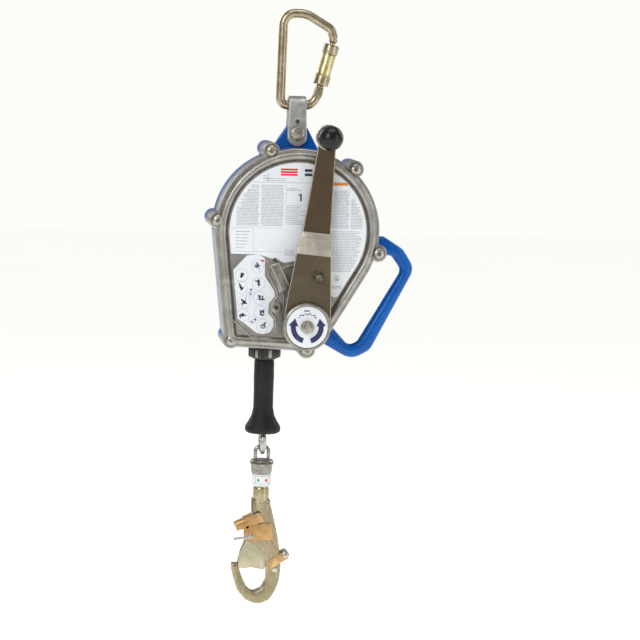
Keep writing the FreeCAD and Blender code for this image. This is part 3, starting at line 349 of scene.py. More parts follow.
def case_loop(offset):
    """Outline of the case about its shaft: big arc, small arc round the crank, floor and left wall."""
    big = 90.0 + offset
    small = 29.6 + offset
    corner = max(12.0 + offset, 5.0)
    crank = Vector((CRANK.x - CASE.x, CRANK.z - CASE.z))
    slant = atan2(crank.y, crank.x) + acos((big - small) / crank.length)
    left = radians(186.4)
    floor = radians(267.0)
    normal_a = Vector((cos(left), sin(left)))
    normal_b = Vector((cos(floor), sin(floor)))
    reach_a = big - corner
    reach_b = (crank + normal_b * small).dot(normal_b) - corner
    cross = normal_a.x * normal_b.y - normal_a.y * normal_b.x
    centre = Vector(((reach_a * normal_b.y - reach_b * normal_a.y) / cross,
        (reach_b * normal_a.x - reach_a * normal_b.x) / cross))
    points = []

    def arc(middle_point, radius, start, end, steps):
        for step in range(steps + 1):
            angle = start + (end - start) * step / steps
            points.append(middle_point + Vector((cos(angle), sin(angle))) * radius)

    arc(Vector((0, 0)), big, slant, left, 90)
    arc(centre, corner, left, floor, 14)
    arc(crank, small, floor, slant + 2 * pi, 40)
    return points


def curve(centre, radius, start, end, steps):
    """Points (a, b) along an arc; start and end are in degrees."""
    angles = [radians(start + (end - start) * step / steps) for step in range(steps + 1)]
    return [(centre[0] + radius * cos(angle), centre[1] + radius * sin(angle)) for angle in angles]


def disc(radius, bottom, ceiling, inner=AXIS):
    """Profile of a plain disc, or of a ring if it has an inner radius."""
    return [(inner, bottom), (radius, bottom), (radius, ceiling), (inner, ceiling)]


def heading_at(line, index):
    """Direction of the line at one of its points."""
    return (line[min(index + 1, len(line) - 1)] - line[max(index - 1, 0)]).normalized()


# ---------------------------------------------------------------- mesh building


class Piece:
    """Collects closed shells, with one material per shell, into one object."""

    def __init__(self, name, body, main, replaced=()):
        self.name = name
        self.body = body
        self.main = main
        self.replaced = replaced
        self.names = [main]
        self.vertices = []
        self.faces = []
        self.tones = []
        self.tone = 0

    def use(self, name):
        if name not in self.names:
            self.names.append(name)
        self.tone = self.names.index(name)
        return self

    def face(self, corners):
        self.faces.append(corners)
        self.tones.append(self.tone)

    def stack(self, rings, caps=(True, True), edge=None, edge_at=()):
        """Skin over rings of points; the strips named in edge_at get the finish edge."""
        base = len(self.vertices)
        count = len(rings[0])
        for ring in rings:
            self.vertices += [Vector(p) for p in ring]
        for level in range(len(rings) - 1):
            for index in range(count):
                a = base + level * count + index
                b = base + level * count + (index + 1) % count
                self.face((a, b, b + count, a + count))
                if index in edge_at:
                    self.tones[-1] = self.names.index(edge)
        if caps[0]:
            self.face(tuple(base + index for index in reversed(range(count))))
        if caps[1]:
            self.face(tuple(base + (len(rings) - 1) * count + index for index in range(count)))

    def layers(self, loop, levels, place):
        """The loop standing in XZ at each (y, depth), drawn in by the depth."""
        self.stack([[Vector((place.x + p.x, y, place.z + p.y)) for p in shrink(loop, depth)]
            for y, depth in levels])

    def case_layers(self, levels, caps=(True, True)):
        """The outline of the case at each (y, depth), drawn in by the depth."""
        self.stack([[Vector((CASE.x + p.x, y, CASE.z + p.y)) for p in case_loop(-depth)]
            for y, depth in levels], caps)

    def slab(self, corners, front, back, edge=0.6, place=CASE):
        """Rounded-edge plate standing in XZ."""
        cuts = [pi / 2 * step / 3 for step in (3, 2, 1, 0)]
        levels = [(front + edge * (1 - sin(cut)), edge * (1 - cos(cut))) for cut in cuts]
        levels += [(back - edge * (1 - sin(cut)), edge * (1 - cos(cut))) for cut in reversed(cuts)]
        self.layers(leftward(fillet(corners)), levels, place)

    def lathe(self, profile, origin, axis, sides=48, shape=None):
        """Turns a profile of (radius, height, rounding); shape changes the radius by angle and height."""
        axis = Vector(axis).normalized()
        side = axis.orthogonal().normalized()
        if abs(axis.y) > 0.9:
            side = Vector((1, 0, 0))
        other = axis.cross(side)
        line = fillet(profile, False, 14)
        rings = []
        for p in line:
            ring = []
            for index in range(sides):
                angle = 2 * pi * index / sides
                radius = max(p.x, AXIS)
                if shape:
                    radius = max(shape(angle, p.y, radius), AXIS)
                ring.append(origin + side * (radius * cos(angle)) + other * (radius * sin(angle))
                    + axis * p.y)
            rings.append(ring)
        hollow = min(line[0].x, line[-1].x) > 0.05
        if hollow:
            rings.append(rings[0])
        self.stack(rings, (not hollow, not hollow))

    def tube(self, path, radius, sides):
        """Round bar along 3-D points, radius a number or one per point."""
        rings = []
        normal = None
        for index, spot in enumerate(path):
            tangent = heading_at(path, index)
            if normal is None:
                normal = tangent.orthogonal().normalized()
                if abs(tangent.y) < 0.9:
                    normal = REARWARD - tangent * tangent.y
                    normal.normalize()
            normal = (normal - tangent * normal.dot(tangent)).normalized()
            other = tangent.cross(normal)
            size = radius[index] if isinstance(radius, list) else radius
            turns = [2 * pi * k / sides for k in range(sides)]
            rings.append([spot + normal * (size * cos(turn)) + other * (size * sin(turn)) for turn in turns])
        self.stack(rings)

    def solid(self, profile, origin, axis, sides=48, shape=None):
        """Turned solid; the profile is closed to the axis at both ends."""
        self.lathe([(AXIS, profile[0][1])] + profile + [(AXIS, profile[-1][1])], origin, axis, sides, shape)

    def band(self, heights, low_part, high_part, origin, axis, sides):
        """Narrow raised rings, each a trapezoid of (radius, half width) at the foot and at the top."""
        (foot, wide), (crest, narrow, *rounding) = low_part, high_part
        for height in heights:
            self.lathe([(foot, height - wide), (crest, height - narrow, *rounding),
                (crest, height + narrow, *rounding), (foot, height + wide)], origin, axis, sides)

    def patch(self, corners, y, place=CASE):
        """Flat printed shape facing the front."""
        base = len(self.vertices)
        self.vertices += [Vector((place.x + a, y, place.z + b)) for a, b in corners]
        self.face(tuple(range(base, base + len(corners))))

    def bar(self, left, right, bottom, top, y, place=CASE):
        self.patch([(left, bottom), (right, bottom), (right, top), (left, top)], y, place)

    def done(self, sharp=34, merge=True):
        """Makes the object; edges sharper than the angle stay crisp, flat print isn't merged."""
        mesh = bpy.data.meshes.new(self.name)
        mesh.from_pydata([tuple(v / 1000) for v in self.vertices], [], self.faces)
        for name in self.names:
            mesh.materials.append(MATS[name])
        mesh.polygons.foreach_set("material_index", self.tones)
        work = bmesh.new()
        work.from_mesh(mesh)
        if merge:
            bmesh.ops.remove_doubles(work, verts=work.verts, dist=2e-6)
            bmesh.ops.recalc_face_normals(work, faces=work.faces)
        for face in work.faces:
            face.smooth = True
        for edge in work.edges:
            if len(edge.link_faces) == 2:
                edge.smooth = edge.calc_face_angle(0) < radians(sharp)
        work.to_mesh(mesh)
        work.free()
        thing = bpy.data.objects.new(self.name, mesh)
        bpy.context.scene.collection.objects.link(thing)
        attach(thing, self.body)
        if self.replaced:
            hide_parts(*self.replaced)
        return thing


def along(start, end, share):
    return start + (end - start) * share


# ---------------------------------------------------------------- carabiner
path = fillet([(41.4, -21.6), (38.8, -11.5, 9), (10.5, 5, 25), (-14.2, 5, 13), (-15.8, -95.2, 8),
    (18.5, -95.2, 13), (25.1, -83.5)], False, 6)
bar_path = [Vector((p.x, 0, p.y)) for p in spaced(path, 150)]
BAR_RADIUS = 4.97
thick = []  # the bar narrows at its nose and at the hinge
for index in range(len(bar_path)):
    left = index / (len(bar_path) - 1)
    if left < 0.012:
        thick.append(4.6 + left / 0.012 * 0.37)
    elif left > 0.985:
        thick.append(4.9 - (left - 0.985) / 0.015 * 1.6)
    else:
        thick.append(BAR_RADIUS)
piece = Piece("carabiner_bar", "carabiner", "zinc_steel", ["carabiner_body"])
piece.tube(bar_path, thick, 28)
hinge = Vector((25.1, 0, -83.5))
nose = Vector((41.2, 0, -22))
piece.solid([(4.9, -1.9, 0.6), (4.9, 1.9, 0.6)], hinge, REARWARD, 36)
gate_dir = (nose - hinge).normalized()
piece.solid([(4.6, -1.2, 0.8), (4.6, 2.6, 0.8), (3.2, 4.4, 0.5)], nose, -gate_dir, 32)
piece.done()
reach = (nose - hinge).length
piece = Piece("carabiner_gate_bar", "carabiner_gate_arm", "zinc_steel", ["carabiner_gate", "carabiner_rivet"])
piece.solid([(3.9, 5.2, 0.8), (4.3, 9.4, 0.6), (3.6, 11.6, 0.4), (3.6, reach - 9.6, 0.4),
    (4.2, reach - 9.1, 0.6), (3.4, reach - 8.5), (2.7, reach - 8.3), (2.7, reach - 3)], hinge, gate_dir, 32)
for side in (-1, 1):
    cheek = fillet([(-4.9, -4.6, 4.5), (4.9, -4.6, 4.5), (4.2, 9, 1.5), (-4.2, 9, 1.5)])
    across = Vector((gate_dir.z, 0, -gate_dir.x))
    rings = []
    for y, depth in ((2.2, 0), (4.2, 0.1), (4.75, 0.45), (4.9, 1)):
        rings.append([hinge + across * p.x + gate_dir * p.y + Vector((0, side * y, 0))
            for p in shrink(leftward(cheek), depth)])
    piece.stack(rings)
    piece.use("bolt_steel")
    piece.solid([(1.75, 0), (1.7, 0.25, 0.15), (0.9, 0.4)], hinge + Vector((0, side * 4.6, 0)),
        (0, side, 0), 20)
    piece.use("zinc_steel")
piece.done()


def knurl(angle, height, radius):
    """Small raised squares, like those of a chessboard."""
    return radius + (0.14 if (round(angle / (2 * pi) * 120) + round(height * 1.4)) % 2 else 0)


sleeve_foot = hinge + gate_dir * 11.5
piece = Piece("twist_sleeve", "carabiner_lock", "zinc_steel", ["carabiner_sleeve"])
piece.lathe([(4.6, 0), (8.2, 0, 0.7), (8.55, 1.4, 0.3), (8.55, 9.8, 0.3), (8.1, 10.3), (8.1, 11), (8.3, 11.4),
    (7.5, 11.9), (7.5, 12), (4.6, 12)], sleeve_foot, gate_dir, 72)
piece.use("zinc_knurl")
rows = [(7.35, 12.2 + 0.357 * step) for step in range(61)]
piece.lathe([(4.6, 12), (7.3, 12)] + rows + [(7.3, 34), (4.6, 34)], sleeve_foot, gate_dir, 120, knurl)
piece.use("zinc_steel")
piece.lathe([(4.6, 34), (7.5, 34), (8.3, 34.5), (8.1, 35), (8.1, 35.6), (8.55, 36.1, 0.3), (8.55, 44.4, 0.3),
    (8.1, 45.8, 0.7), (4.6, 45.8)], sleeve_foot, gate_dir, 72)
piece.band((3.4, 6.4, 39, 42), (8.3, 0.5), (8.6, 0.25, 0.1), sleeve_foot, gate_dir, 72)
piece.done()

# ---------------------------------------------------------------- strap and its bolt
strap_top = -96.2
strap_end = low("suspension_strap").z
strap_bend = 8.9
strap_line = [Vector((-strap_bend, along(strap_end, strap_top, step / 25))) for step in range(26)]
strap_line += [Vector(p) for p in curve((0, strap_top), strap_bend, 180, 0, 20)[1:-1]]
strap_line += [Vector((strap_bend, along(strap_top, strap_end, step / 25))) for step in range(26)]
piece = Piece("strap_loop", "strap", "strap_steel", ["suspension_strap"])
rings = []
end_radius = 10.4
for index, point in enumerate(strap_line):
    tangent = heading_at(strap_line, index)
    out = Vector((tangent.y, -tangent.x)) * -1
    share = min(1, max(0, (strap_top - point.y) / (strap_top - strap_end)))
    half = 9.7 + (11.4 - 9.7) * share ** 1.4
    gap = point.y - strap_end
    if gap < end_radius:
        rounded = sqrt(max(0.02, end_radius ** 2 - (end_radius - gap - 0.3) ** 2))
        half = min(half, rounded * half / end_radius)
    middle_x = CASE.x + 0.1
    ring = []
    for corner in range(24):
        angle = 2 * pi * corner / 24
        c, s = cos(angle), sin(angle)
        wide = half * copysign(abs(c) ** 0.22, c)
        deep = 2.45 * copysign(abs(s) ** 0.32, s)
        ring.append(Vector((middle_x + wide, point.x + out.x * deep, point.y + out.y * deep)))
    rings.append(ring)
piece.stack(rings)
hole = Vector((2.7, 0, -112.6))
for side in (-1, 1):
    piece.use("strap_steel")
    piece.lathe([(2.6, 11), (2.6, 11.45), (3.3, 11.5, 0.1), (3.5, 11.3), (3.5, 11)], hole, (0, side, 0), 32)
    # painted shade: a dark disc fills the strap's hole
    piece.use("recess")
    piece.lathe(disc(2.7, 11, 11.38), hole, (0, side, 0), 32)
piece.done()


def hexed(across):
    """Turns a round section into a hexagon of this width across flats."""

    def shape(angle, height, radius):
        flat_distance = across / 2 / cos((angle + pi / 6) % (pi / 3) - pi / 6)
        return min(radius, flat_distance)
    return shape


bolt_front = low("strap_bolt").y
piece = Piece("strap_bolt_head", "strap", "bolt_steel", ["strap_bolt", "strap_nut"])
piece.lathe([(4.9, 11.5), (8.4, 11.5, 0.3), (8.4, 12.6, 0.4), (4.9, 12.6)], BOLT, FRONTWARD, 48)
piece.lathe([(AXIS, 12.6), (7.2, 12.6), (7.9, 13), (7.9, -bolt_front - 2), (6.9, -bolt_front - 0.9, 0.5),
    (4.4, -bolt_front - 0.35, 2), (AXIS, -bolt_front)], BOLT, FRONTWARD, 72, hexed(14))
piece.lathe([(AXIS, -11), (4.95, -11), (4.95, 15, 0.6), (AXIS, 15.6)], BOLT, REARWARD, 32)
piece.lathe([(5, 11.5), (7.9, 11.5), (8.6, 12.1), (8.6, 15.5), (7.7, 16.3, 0.3), (5, 16.3)], BOLT, REARWARD,
    72, hexed(15))
piece.done()

# ---------------------------------------------------------------- rear housing and carry handle
piece = Piece("housing_shell", "housing", "blue_paint", ["rear_housing"])
profile = [(47.8, 14), (47.6, 9.6), (4, 6), (SPLIT + 0.4, 5), (SPLIT, 4.6), (SPLIT, 0.6), (SPLIT + 0.4, 0.1),
    (SPLIT + 6, 0.1), (4, 0.5), (26, 1.8), (44.6, 3.6), (47.2, 4.2), (49.6, 5.4), (51.6, 7.4), (52.8, 10.2),
    (53, 12.6)]
piece.case_layers(profile)
for spot in LOBES:
    piece.lathe([(3, SPLIT), (9, SPLIT, 0.3), (9.45, SPLIT + 0.6), (9.2, 20), (8.2, 25.6, 1.5), (5, 27),
        (AXIS, 27)], spot, REARWARD, 36)
lug_top = high("rear_housing").z
piece.slab([(BOLT.x - 44.5, -170), (BOLT.x - 9.1, lug_top, 10), (BOLT.x + 9.9, lug_top, 10),
    (BOLT.x + 39.5, -170)], -5.9, 5.9, 1.6, Vector((0, 0, 0)))
for side in (-1, 1):
    piece.lathe([(5.1, 5.7), (9.6, 5.7), (9, 6, 0.1), (5.1, 6)], BOLT, (0, side, 0), 40)
piece.use("black_plastic")
for x, z in ((-44, 44), (44, 44), (-54, -86), (12, -98)):
    piece.solid([(8.9, 51.5), (8.9, BACK - 0.7, 0.6), (8, BACK, 0.3)], CASE + Vector((x, 0, z)), REARWARD, 40)
piece.use("blue_paint")
for radius in (30, 52):
    piece.lathe([(radius - 1.6, 52.7), (radius - 1, 53.7, 0.3), (radius + 1, 53.7, 0.3),
        (radius + 1.6, 52.7)], CASE, REARWARD, 96)
piece.done(30)
piece = Piece("carry_handle", "housing", "blue_paint", ["handle_grip"])
outer = fillet([(76, -9), (100, -6, 9), (123, -20.5, 14), (136.5, -41.5, 17), (89, -133.5, 17),
    (68, -144.5, 20), (22, -119)], False, 6)
inner = fillet([(64, -28), (109.5, -27.5, 6), (121.2, -43.5, 9), (74.5, -123.5, 8), (65, -129, 8), (34, -95)],
    False, 6)
handle_depth = 6.9
rings = []
for a, b in zip(spaced(outer, 120), spaced(inner, 120)):
    ring = []
    for step in range(56):
        angle = 2 * pi * step / 56
        spot = (a + b) / 2 + (a - b) / 2 * cos(angle)
        ring.append(Vector((CASE.x + spot.x, handle_depth * sin(angle), CASE.z + spot.y)))
    rings.append(ring)
piece.stack(rings)
piece.done(60)
piece = Piece("rear_nut", "housing", "bolt_steel", ["shaft_nut"])
piece.lathe([(5.8, 52.9), (8.9, 52.9), (8.9, 53.6, 0.3), (5.8, 53.6)], CASE, REARWARD, 48)
piece.solid([(5.9, 52.9), (5.9, 53.9, 0.4)], CASE, REARWARD, 40)
piece.done()

# ---------------------------------------------------------------- front cover
cover_back = high("front_cover").y
piece = Piece("cover_casting", "housing", "cast_cover", ["front_cover"])
profile = [(-39.6, 14), (-39.6, 5.4), (-38.8, 5), (cover_back, 5), (cover_back, 0.2),
    (cover_back - 0.5, 0.05), (-39.2, 0.05), (-40.4, 0.35), (-41.1, 1.1), (-41.2, 2.4), (-41.8, 3),
    (-43.2, 3.5), (-44.7, 4.6), (-45.6, 5.9), (-45.95, 7.3), (-45.9, 8.6), (-45.3, 10), (-44.3, 11.1),
    (-43.2, 11.7), (-42.55, 12.2), (-42.3, 12.9), (-42.5, 13.5), (FLOOR, 14), (FLOOR, 14.6)]
piece.case_layers(profile)
for spot in LOBES:
    piece.solid([(9.3, 13, 0.2), (9.5, 14), (9.5, 39.4, 0.8), (8.9, 40.7, 0.6), (7.2, 41.1, 0.3),
        (6.6, 40.6)], spot, FRONTWARD, 40)
piece.lathe([(10, 38), (20.5, 42.4), (19.2, 44.2, 1.5), (18.9, 51.2, 0.8), (17.9, 51.9, 0.4), (10, 51.9)],
    CRANK, FRONTWARD, 64)
piece.use("hub_metal")
piece.slab([(-31.5, -35, 1.5), (-25, -28, 1.5), (-13, -36, 1.5), (-5, -60, 1), (-19, -68, 1)],
    -43.6, FLOOR + 1, 0.5)
# real raised ribs, given the light eye_steel finish as painted highlight for their bright lit edges
piece.use("eye_steel")
for first, last in (((-28.5, -37.5), (-16, -63)), ((-20.5, -34.5), (-8.5, -58.5)),
        ((-28.5, -37.5), (-20.5, -34.5))):
    start, end = Vector(first), Vector(last)
    across = (end - start).normalized()
    across = Vector((-across.y, across.x)) * 0.75
    piece.slab([start - across, end - across, end + across, start + across], -44.9, FLOOR + 1, 0.5)
piece.use("cast_cover")
piece.solid([(6.2, 42), (6.2, 45, 0.8), (5.4, 45.5, 0.3)], CASE + Vector((-22, 0, -83)), FRONTWARD, 40)
# raised ribs of the casting round the crank side of the pictogram panel
ribs = [
    ([(-34, -30), (-29.5, -37, 3), (-31.5, -47, 4), (-20.5, -65, 4), (-20.5, -71.5, 4), (-26.8, -79.5, 3),
      (-26.8, -89, 3), (-21.5, -95.5, 3), (-21.5, -106, 3)], 1.3, 0.9),
    ([(-24.6, -33), (-18.6, -42, 2), (-10.5, -38.5, 2), (-1.5, -36.5)], 1.2, 0.9),
    ([(-15.6, -66), (-13.5, -72, 2), (-13.5, -84, 3)], 1.1, 0.8),
    ([(-69.8, -97), (-66.5, -99.5, 3), (-52.5, -111.5, 5), (-48.5, -116.2, 4), (-26, -117)], 1.4, 1.2),
]
for corners, half, rise in ribs:
    line = spaced(fillet(corners, False, 8), 60)
    rings = []
    for index in range(len(line)):
        tangent = heading_at(line, index)
        side = Vector((-tangent.y, tangent.x))
        fade = min(1, 0.15 + min(index, len(line) - 1 - index) / 4)
        ring = []
        for step in range(9):
            angle = pi * step / 8
            spot = line[index] + side * (half * cos(angle))
            ring.append(Vector((CASE.x + spot.x, FLOOR + 0.25 - (rise + 0.25) * fade * sin(angle),
                CASE.z + spot.y)))
        rings.append(ring)
    piece.stack(rings)
piece.done(30)
piece = Piece("cover_shadow_parts", "housing", "recess")
piece.slab([(-27.2, -30.6, 0.6), (-24.8, -29.4, 0.6), (-21.6, -33.2, 0.6), (-23.6, -35, 0.6)],
    -43.72, -43, 0.04)
piece.lathe(disc(2.5, 45, 45.55), CASE + Vector((-22, 0, -83)), FRONTWARD, 32)
piece.done()
# painted shade: a dark strip on the rim's inner wall round the label, where shade falls
piece = Piece("label_groove_painted_shade", "housing", "plunger_steel")
piece.case_layers(((-43.3, 12.1), (-42.7, 12.6), (-42.65, 13.3), (-42.2, 13.3), (-42.1, 12.1), (-43.3, 12.1)),
    (False, False))
piece.done()
piece = Piece("gasket_line", "housing", "gasket_rubber", ["cover_gasket"])
piece.case_layers(((cover_back, 4.8), (cover_back, 0.35), (cover_back + 0.15, 0.3), (SPLIT - 0.15, 0.3),
    (SPLIT, 0.35), (SPLIT, 4.8), (cover_back, 4.8)), (False, False))
piece.done()


def six_lobed(angle, height, radius):
    """Socket of the cover screws."""
    return radius * (1 + 0.13 * cos(6 * angle))


piece = Piece("cover_screws", "housing", "bolt_steel", ["cover_bolts"])
for spot in LOBES:
    piece.use("bolt_steel")
    piece.lathe([(2.9, 40.7), (6.15, 40.7), (6.15, 41.9, 0.3), (5.9, 43.6, 0.8), (4.6, 45, 1.2),
        (3, 45.75, 0.3), (2, 45.8, 0.1), (1.9, 44.4)], spot, FRONTWARD, 48)
    piece.lathe(disc(2.4, 12.5, 41), spot, FRONTWARD, 16)
    # painted shade: a dark six-lobed disc stands for the shaded inside of each screw socket
    piece.use("plunger_steel")
    piece.lathe(disc(2, 44, 44.9), spot, FRONTWARD, 36, six_lobed)
piece.done()

# ---------------------------------------------------------------- labels
print_y = low("main_label").y - 0.06
PRINT_REACH = 72.5
label_edge = spaced(case_loop(-15), 420, True)
label_foot = fillet([(-100, -26), (-42, -25.5, 3), (-27, -30, 4), (-14, -34, 3), (-1, -32, 3), (6, -26, 4),
    (33, -58, 10), (39.5, -71.5, 4), (54, -69, 6), (62, -64, 3), (100, -56)], False)


def foot_level(x):
    """Height of the lower edge of the label."""
    for one, two in zip(label_foot, label_foot[1:]):
        if one.x <= x <= two.x:
            return one.y + (two.y - one.y) * (x - one.x) / max(1e-6, two.x - one.x)
    return -60


kept = [p.y > foot_level(p.x) for p in label_edge]
first_kept = next(i for i in range(len(kept)) if kept[i] and not kept[i - 1])
label_line = []
for step in range(len(kept)):
    index = (first_kept + step) % len(kept)
    if not kept[index]:
        break
    label_line.append(label_edge[index])
label_line += [p for p in label_foot if label_line[-1].x + 0.4 < p.x < label_line[0].x - 0.4]
piece = Piece("label_sheet", "housing", "label_film", ["main_label"])
piece.slab(label_line, low("main_label").y, FLOOR + 0.2, 0.05)
piece.done()
piece = Piece("label_ink", "housing", "ink_grey")


def text_rows(left, right, top_z, bottom_z, pitch, height, ragged=0.15, bound=None):
    """Rows of dashes between the bounds, with ragged right ends."""
    z = top_z
    while z > bottom_z:
        x = left
        end = right - dice.random() * ragged * (right - left)
        while x < end - 0.6:
            word = 1.2 + dice.random() * 3.2
            stop = min(end, x + word)
            if bound is None or (bound(x, z) and bound(stop, z)):
                piece.bar(x, stop, z - height, z, print_y)
            x = stop + 0.55
        z -= pitch


def bars(tone, *boxes):
    """Printed bars of one finish, each (left, right, bottom, top)."""
    piece.use(tone)
    for box in boxes:
        piece.bar(*box, print_y)


def inside_round(x, z):
    """Inside the round top of the label."""
    return hypot(x, z) < PRINT_REACH


def above_slope(x, z):
    """Clear of the slanting right foot of the label too."""
    return inside_round(x, z) and z > -42 + 1.72 * (x - 66)


bars("ink_red", (-20.6, -2.2, 60.6, 62.7), (-20.6, -2.2, 63.5, 65.6), (-20.6, -2.2, 66.4, 68.5))
bars("ink_black", (5.6, 14, 60.6, 63.6), (5.6, 14, 65.2, 68.2))
bars("ink_grey", (-50, 12, 52.9, 53.4), (28, 56, 54.9, 55.2))
for rows in (
        (-36, -12, 57.6, 55, 2, 0.8),
        (-39.5, -32.5, 64.2, 56.5, 1.8, 0.7, 0.15, inside_round),
        (-67.5, -42.5, 50.4, 5.5, 1.62, 0.72, 0.06, inside_round),
        (-41, -16, 50.4, 5.5, 1.62, 0.72, 0.06, inside_round),
        (-13.5, 4.5, 47, 44, 1.8, 0.8, 0.3),
        (-13.5, 8, 28.5, 8, 2, 0.7, 0.4),
        (35.5, 56, 45.6, 5, 1.62, 0.72, 0.1, inside_round),
        (57.5, 71, 36, 5, 1.62, 0.72, 0.1, inside_round),
        (35.5, 71, 1.5, -44, 1.75, 0.72, 0.2, above_slope),
        (38.5, 50, -58.8, -61, 1.6, 0.8, 0.1),
        (-68, -52, -0.5, -20.5, 3.4, 0.8, 0.5),
        (-14, -3, -20, -26.5, 1.8, 0.7, 0.3)):
    text_rows(*rows)
bars("ink_orange", (31, 53.5, 51, 54.2))
bars("ink_black", (1.2, 3, 33.1, 41.3))
piece.patch([(1.2, 41.3), (1.2, 39.6), (-0.3, 38.9), (-0.3, 40.2)], print_y)
bars("ink_pale", (-14.2, -13.8, 8, 52), (-70.3, -17, 3.2, 3.6), (-70, -17, -22.6, -22.2),
    (-49, -48.7, -22, 3.2))
piece.use("ink_grey")
piece.lathe(disc(3, 0, 0.05, 2.3), CASE + Vector((44, print_y, -50.5)), FRONTWARD, 24)
piece.patch([(42.6, -52.2), (45.4, -52.2), (44, -48.9)], print_y)
piece.done(merge=False)

piece = Piece("pictogram_ink", "housing", "ink_pale")
spots = [(-43.6, -38.4), (-60.6, -48.5), (-61, -61.6), (-41.6, -57.5), (-40, -73), (-57, -77.4), (-58, -92),
    (-38.6, -88.6), (-35.8, -103.2), (-50.4, -67.2), (-47.6, -97)]
for count, (x, z) in enumerate(spots):
    size_here = 7.2 if count < 9 else 4.4
    centre = CASE + Vector((x, print_y, z))
    piece.use("ink_pale")
    piece.lathe(disc(size_here, 0, 0.05, size_here - 0.35), centre, FRONTWARD, 40)
    for stroke in range(9 if count < 9 else 4):
        angle = dice.random() * 2 * pi
        start = Vector((x, z)) + Vector((cos(angle), sin(angle))) * size_here * 0.55 * dice.random()
        heading = dice.choice((0, 1.57, 0.8, 2.3, 1.2))
        size_of = size_here * (0.3 + 0.5 * dice.random())
        step_out = Vector((cos(heading), sin(heading))) * size_of
        width = Vector((-sin(heading), cos(heading))) * (0.25 + 0.45 * dice.random())
        piece.use("ink_blue" if stroke % 3 else "ink_pale")
        ends = (start - step_out / 2, start + step_out / 2)
        if max((e - Vector((x, z))).length for e in ends) < size_here * 0.92:
            piece.patch([tuple(ends[0] - width), tuple(ends[1] - width), tuple(ends[1] + width),
                tuple(ends[0] + width)], print_y - 0.02)
    piece.use("ink_blue")
    piece.lathe(disc(1.1, 0, 0.05), CASE + Vector((x + dice.uniform(-3, 3),
        print_y - 0.03, z + dice.uniform(0, 3.5))), FRONTWARD, 16)
piece.use("ink_red")
piece.patch([(-39.8, -30.9), (-35.9, -31.6), (-36.2, -33.4), (-40, -32.5)], print_y - 0.04)
piece.done(merge=False)

# ---------------------------------------------------------------- crank arm


def arm_point(x, up, y):
    """A place on the crank arm: across it, up along it, and its depth."""
    spot = CRANK + ARM_SIDE * x + ARM_UP * up
    return Vector((spot.x, y, spot.z))


def arm_sides(up):
    """Half widths of the arm to the left and right."""
    marks = [(-24.6, 0.5, 0.5), (-23.4, 8, 8), (-18, 16.6, 16.6), (-10, 22.4, 22.4), (0, 24.8, 24.8),
        (12, 25.4, 25.4), (28, 24.6, 23.4), (50, 22.6, 21), (78, 20.6, 17.8), (102, 15.6, 15.4),
        (140, 13, 12.9), (192, 9.9, 9.9), (201, 9.6, 9.6), (210, 8.6, 8.6), (213.5, 6.4, 6.4), (215.6, 2, 2)]
    for (u0, a0, b0), (u1, a1, b1) in zip(marks, marks[1:]):
        if up <= u1:
            share = (up - u0) / (u1 - u0)
            return a0 + (a1 - a0) * share, b0 + (b1 - b0) * share
    return marks[-1][1:]


piece = Piece("crank_plate", "crank", "dark_arm", ["crank_arm"])
ups = [-24.5, -24, -23.4, -21, -18, -14, -10, -5, 0, 6, 12, 20, 28, 36, 44, 52, 60, 68, 74, 76]
ups += [78 + 2 * s for s in range(13)]
ups += [104, 108, 114, 120, 128, 136, 144, 152, 160, 168, 176, 184, 190, 196, 201, 205, 208, 211, 213, 214.5,
    215.4, 215.7]
sections = []
for up in ups:
    share = min(1, max(0, (up - 78) / 24))
    front = -64 + 8 * (share * share * (3 - 2 * share))
    back = front + 4
    left, right = arm_sides(up)
    ring = []
    for x, y in ((-left, back - 0.7), (0.7 - left, back), (right - 0.7, back), (right, back - 0.7),
            (right, front + 0.8), (right - 0.25, front + 0.3), (right - 0.8, front), (0.8 - left, front),
            (0.25 - left, front + 0.3), (-left, front + 0.8)):
        ring.append(arm_point(x if left > 1 else x * 0.4, up, y))
    sections.append((up, ring))
lower = [ring for up, ring in sections if up <= 78.001]
bend = [ring for up, ring in sections if 77.9 <= up <= 102.001]
upper = [ring for up, ring in sections if up >= 101.999]
rim_faces = (3, 4, 5, 7, 8, 9)
piece.use("arm_edge").use("arm_lower")
piece.stack(lower, (True, False), "arm_edge", rim_faces)
# painted highlight: the sloped bend of the arm gets the lighter finish
piece.use("arm_bend")
piece.stack(bend, (False, False))
piece.use("dark_arm")
piece.stack(upper, (False, True), "arm_edge", rim_faces)
piece.done(28)

plunger_base = PLUNGER - Vector((0, 47, 0))
piece = Piece("arm_plunger", "plunger", "plunger_steel", ["arm_lock_plunger"])
piece.solid([(2.9, -1, 0.4), (2.9, 17)], plunger_base, FRONTWARD, 32)
piece.lathe([(4.2, 17.1), (6.2, 17.1, 0.3), (6.2, 18.9, 0.5), (5.4, 19.6, 0.3), (4.4, 19.2), (4.2, 18)],
    plunger_base, FRONTWARD, 48)
piece.lathe([(AXIS, 17.2), (4.2, 17.2), (4.2, 24.8, 1), (3.3, 25.9, 0.4), (2.2, 25.2), (AXIS, 25)],
    plunger_base, FRONTWARD, 40)
piece.done()

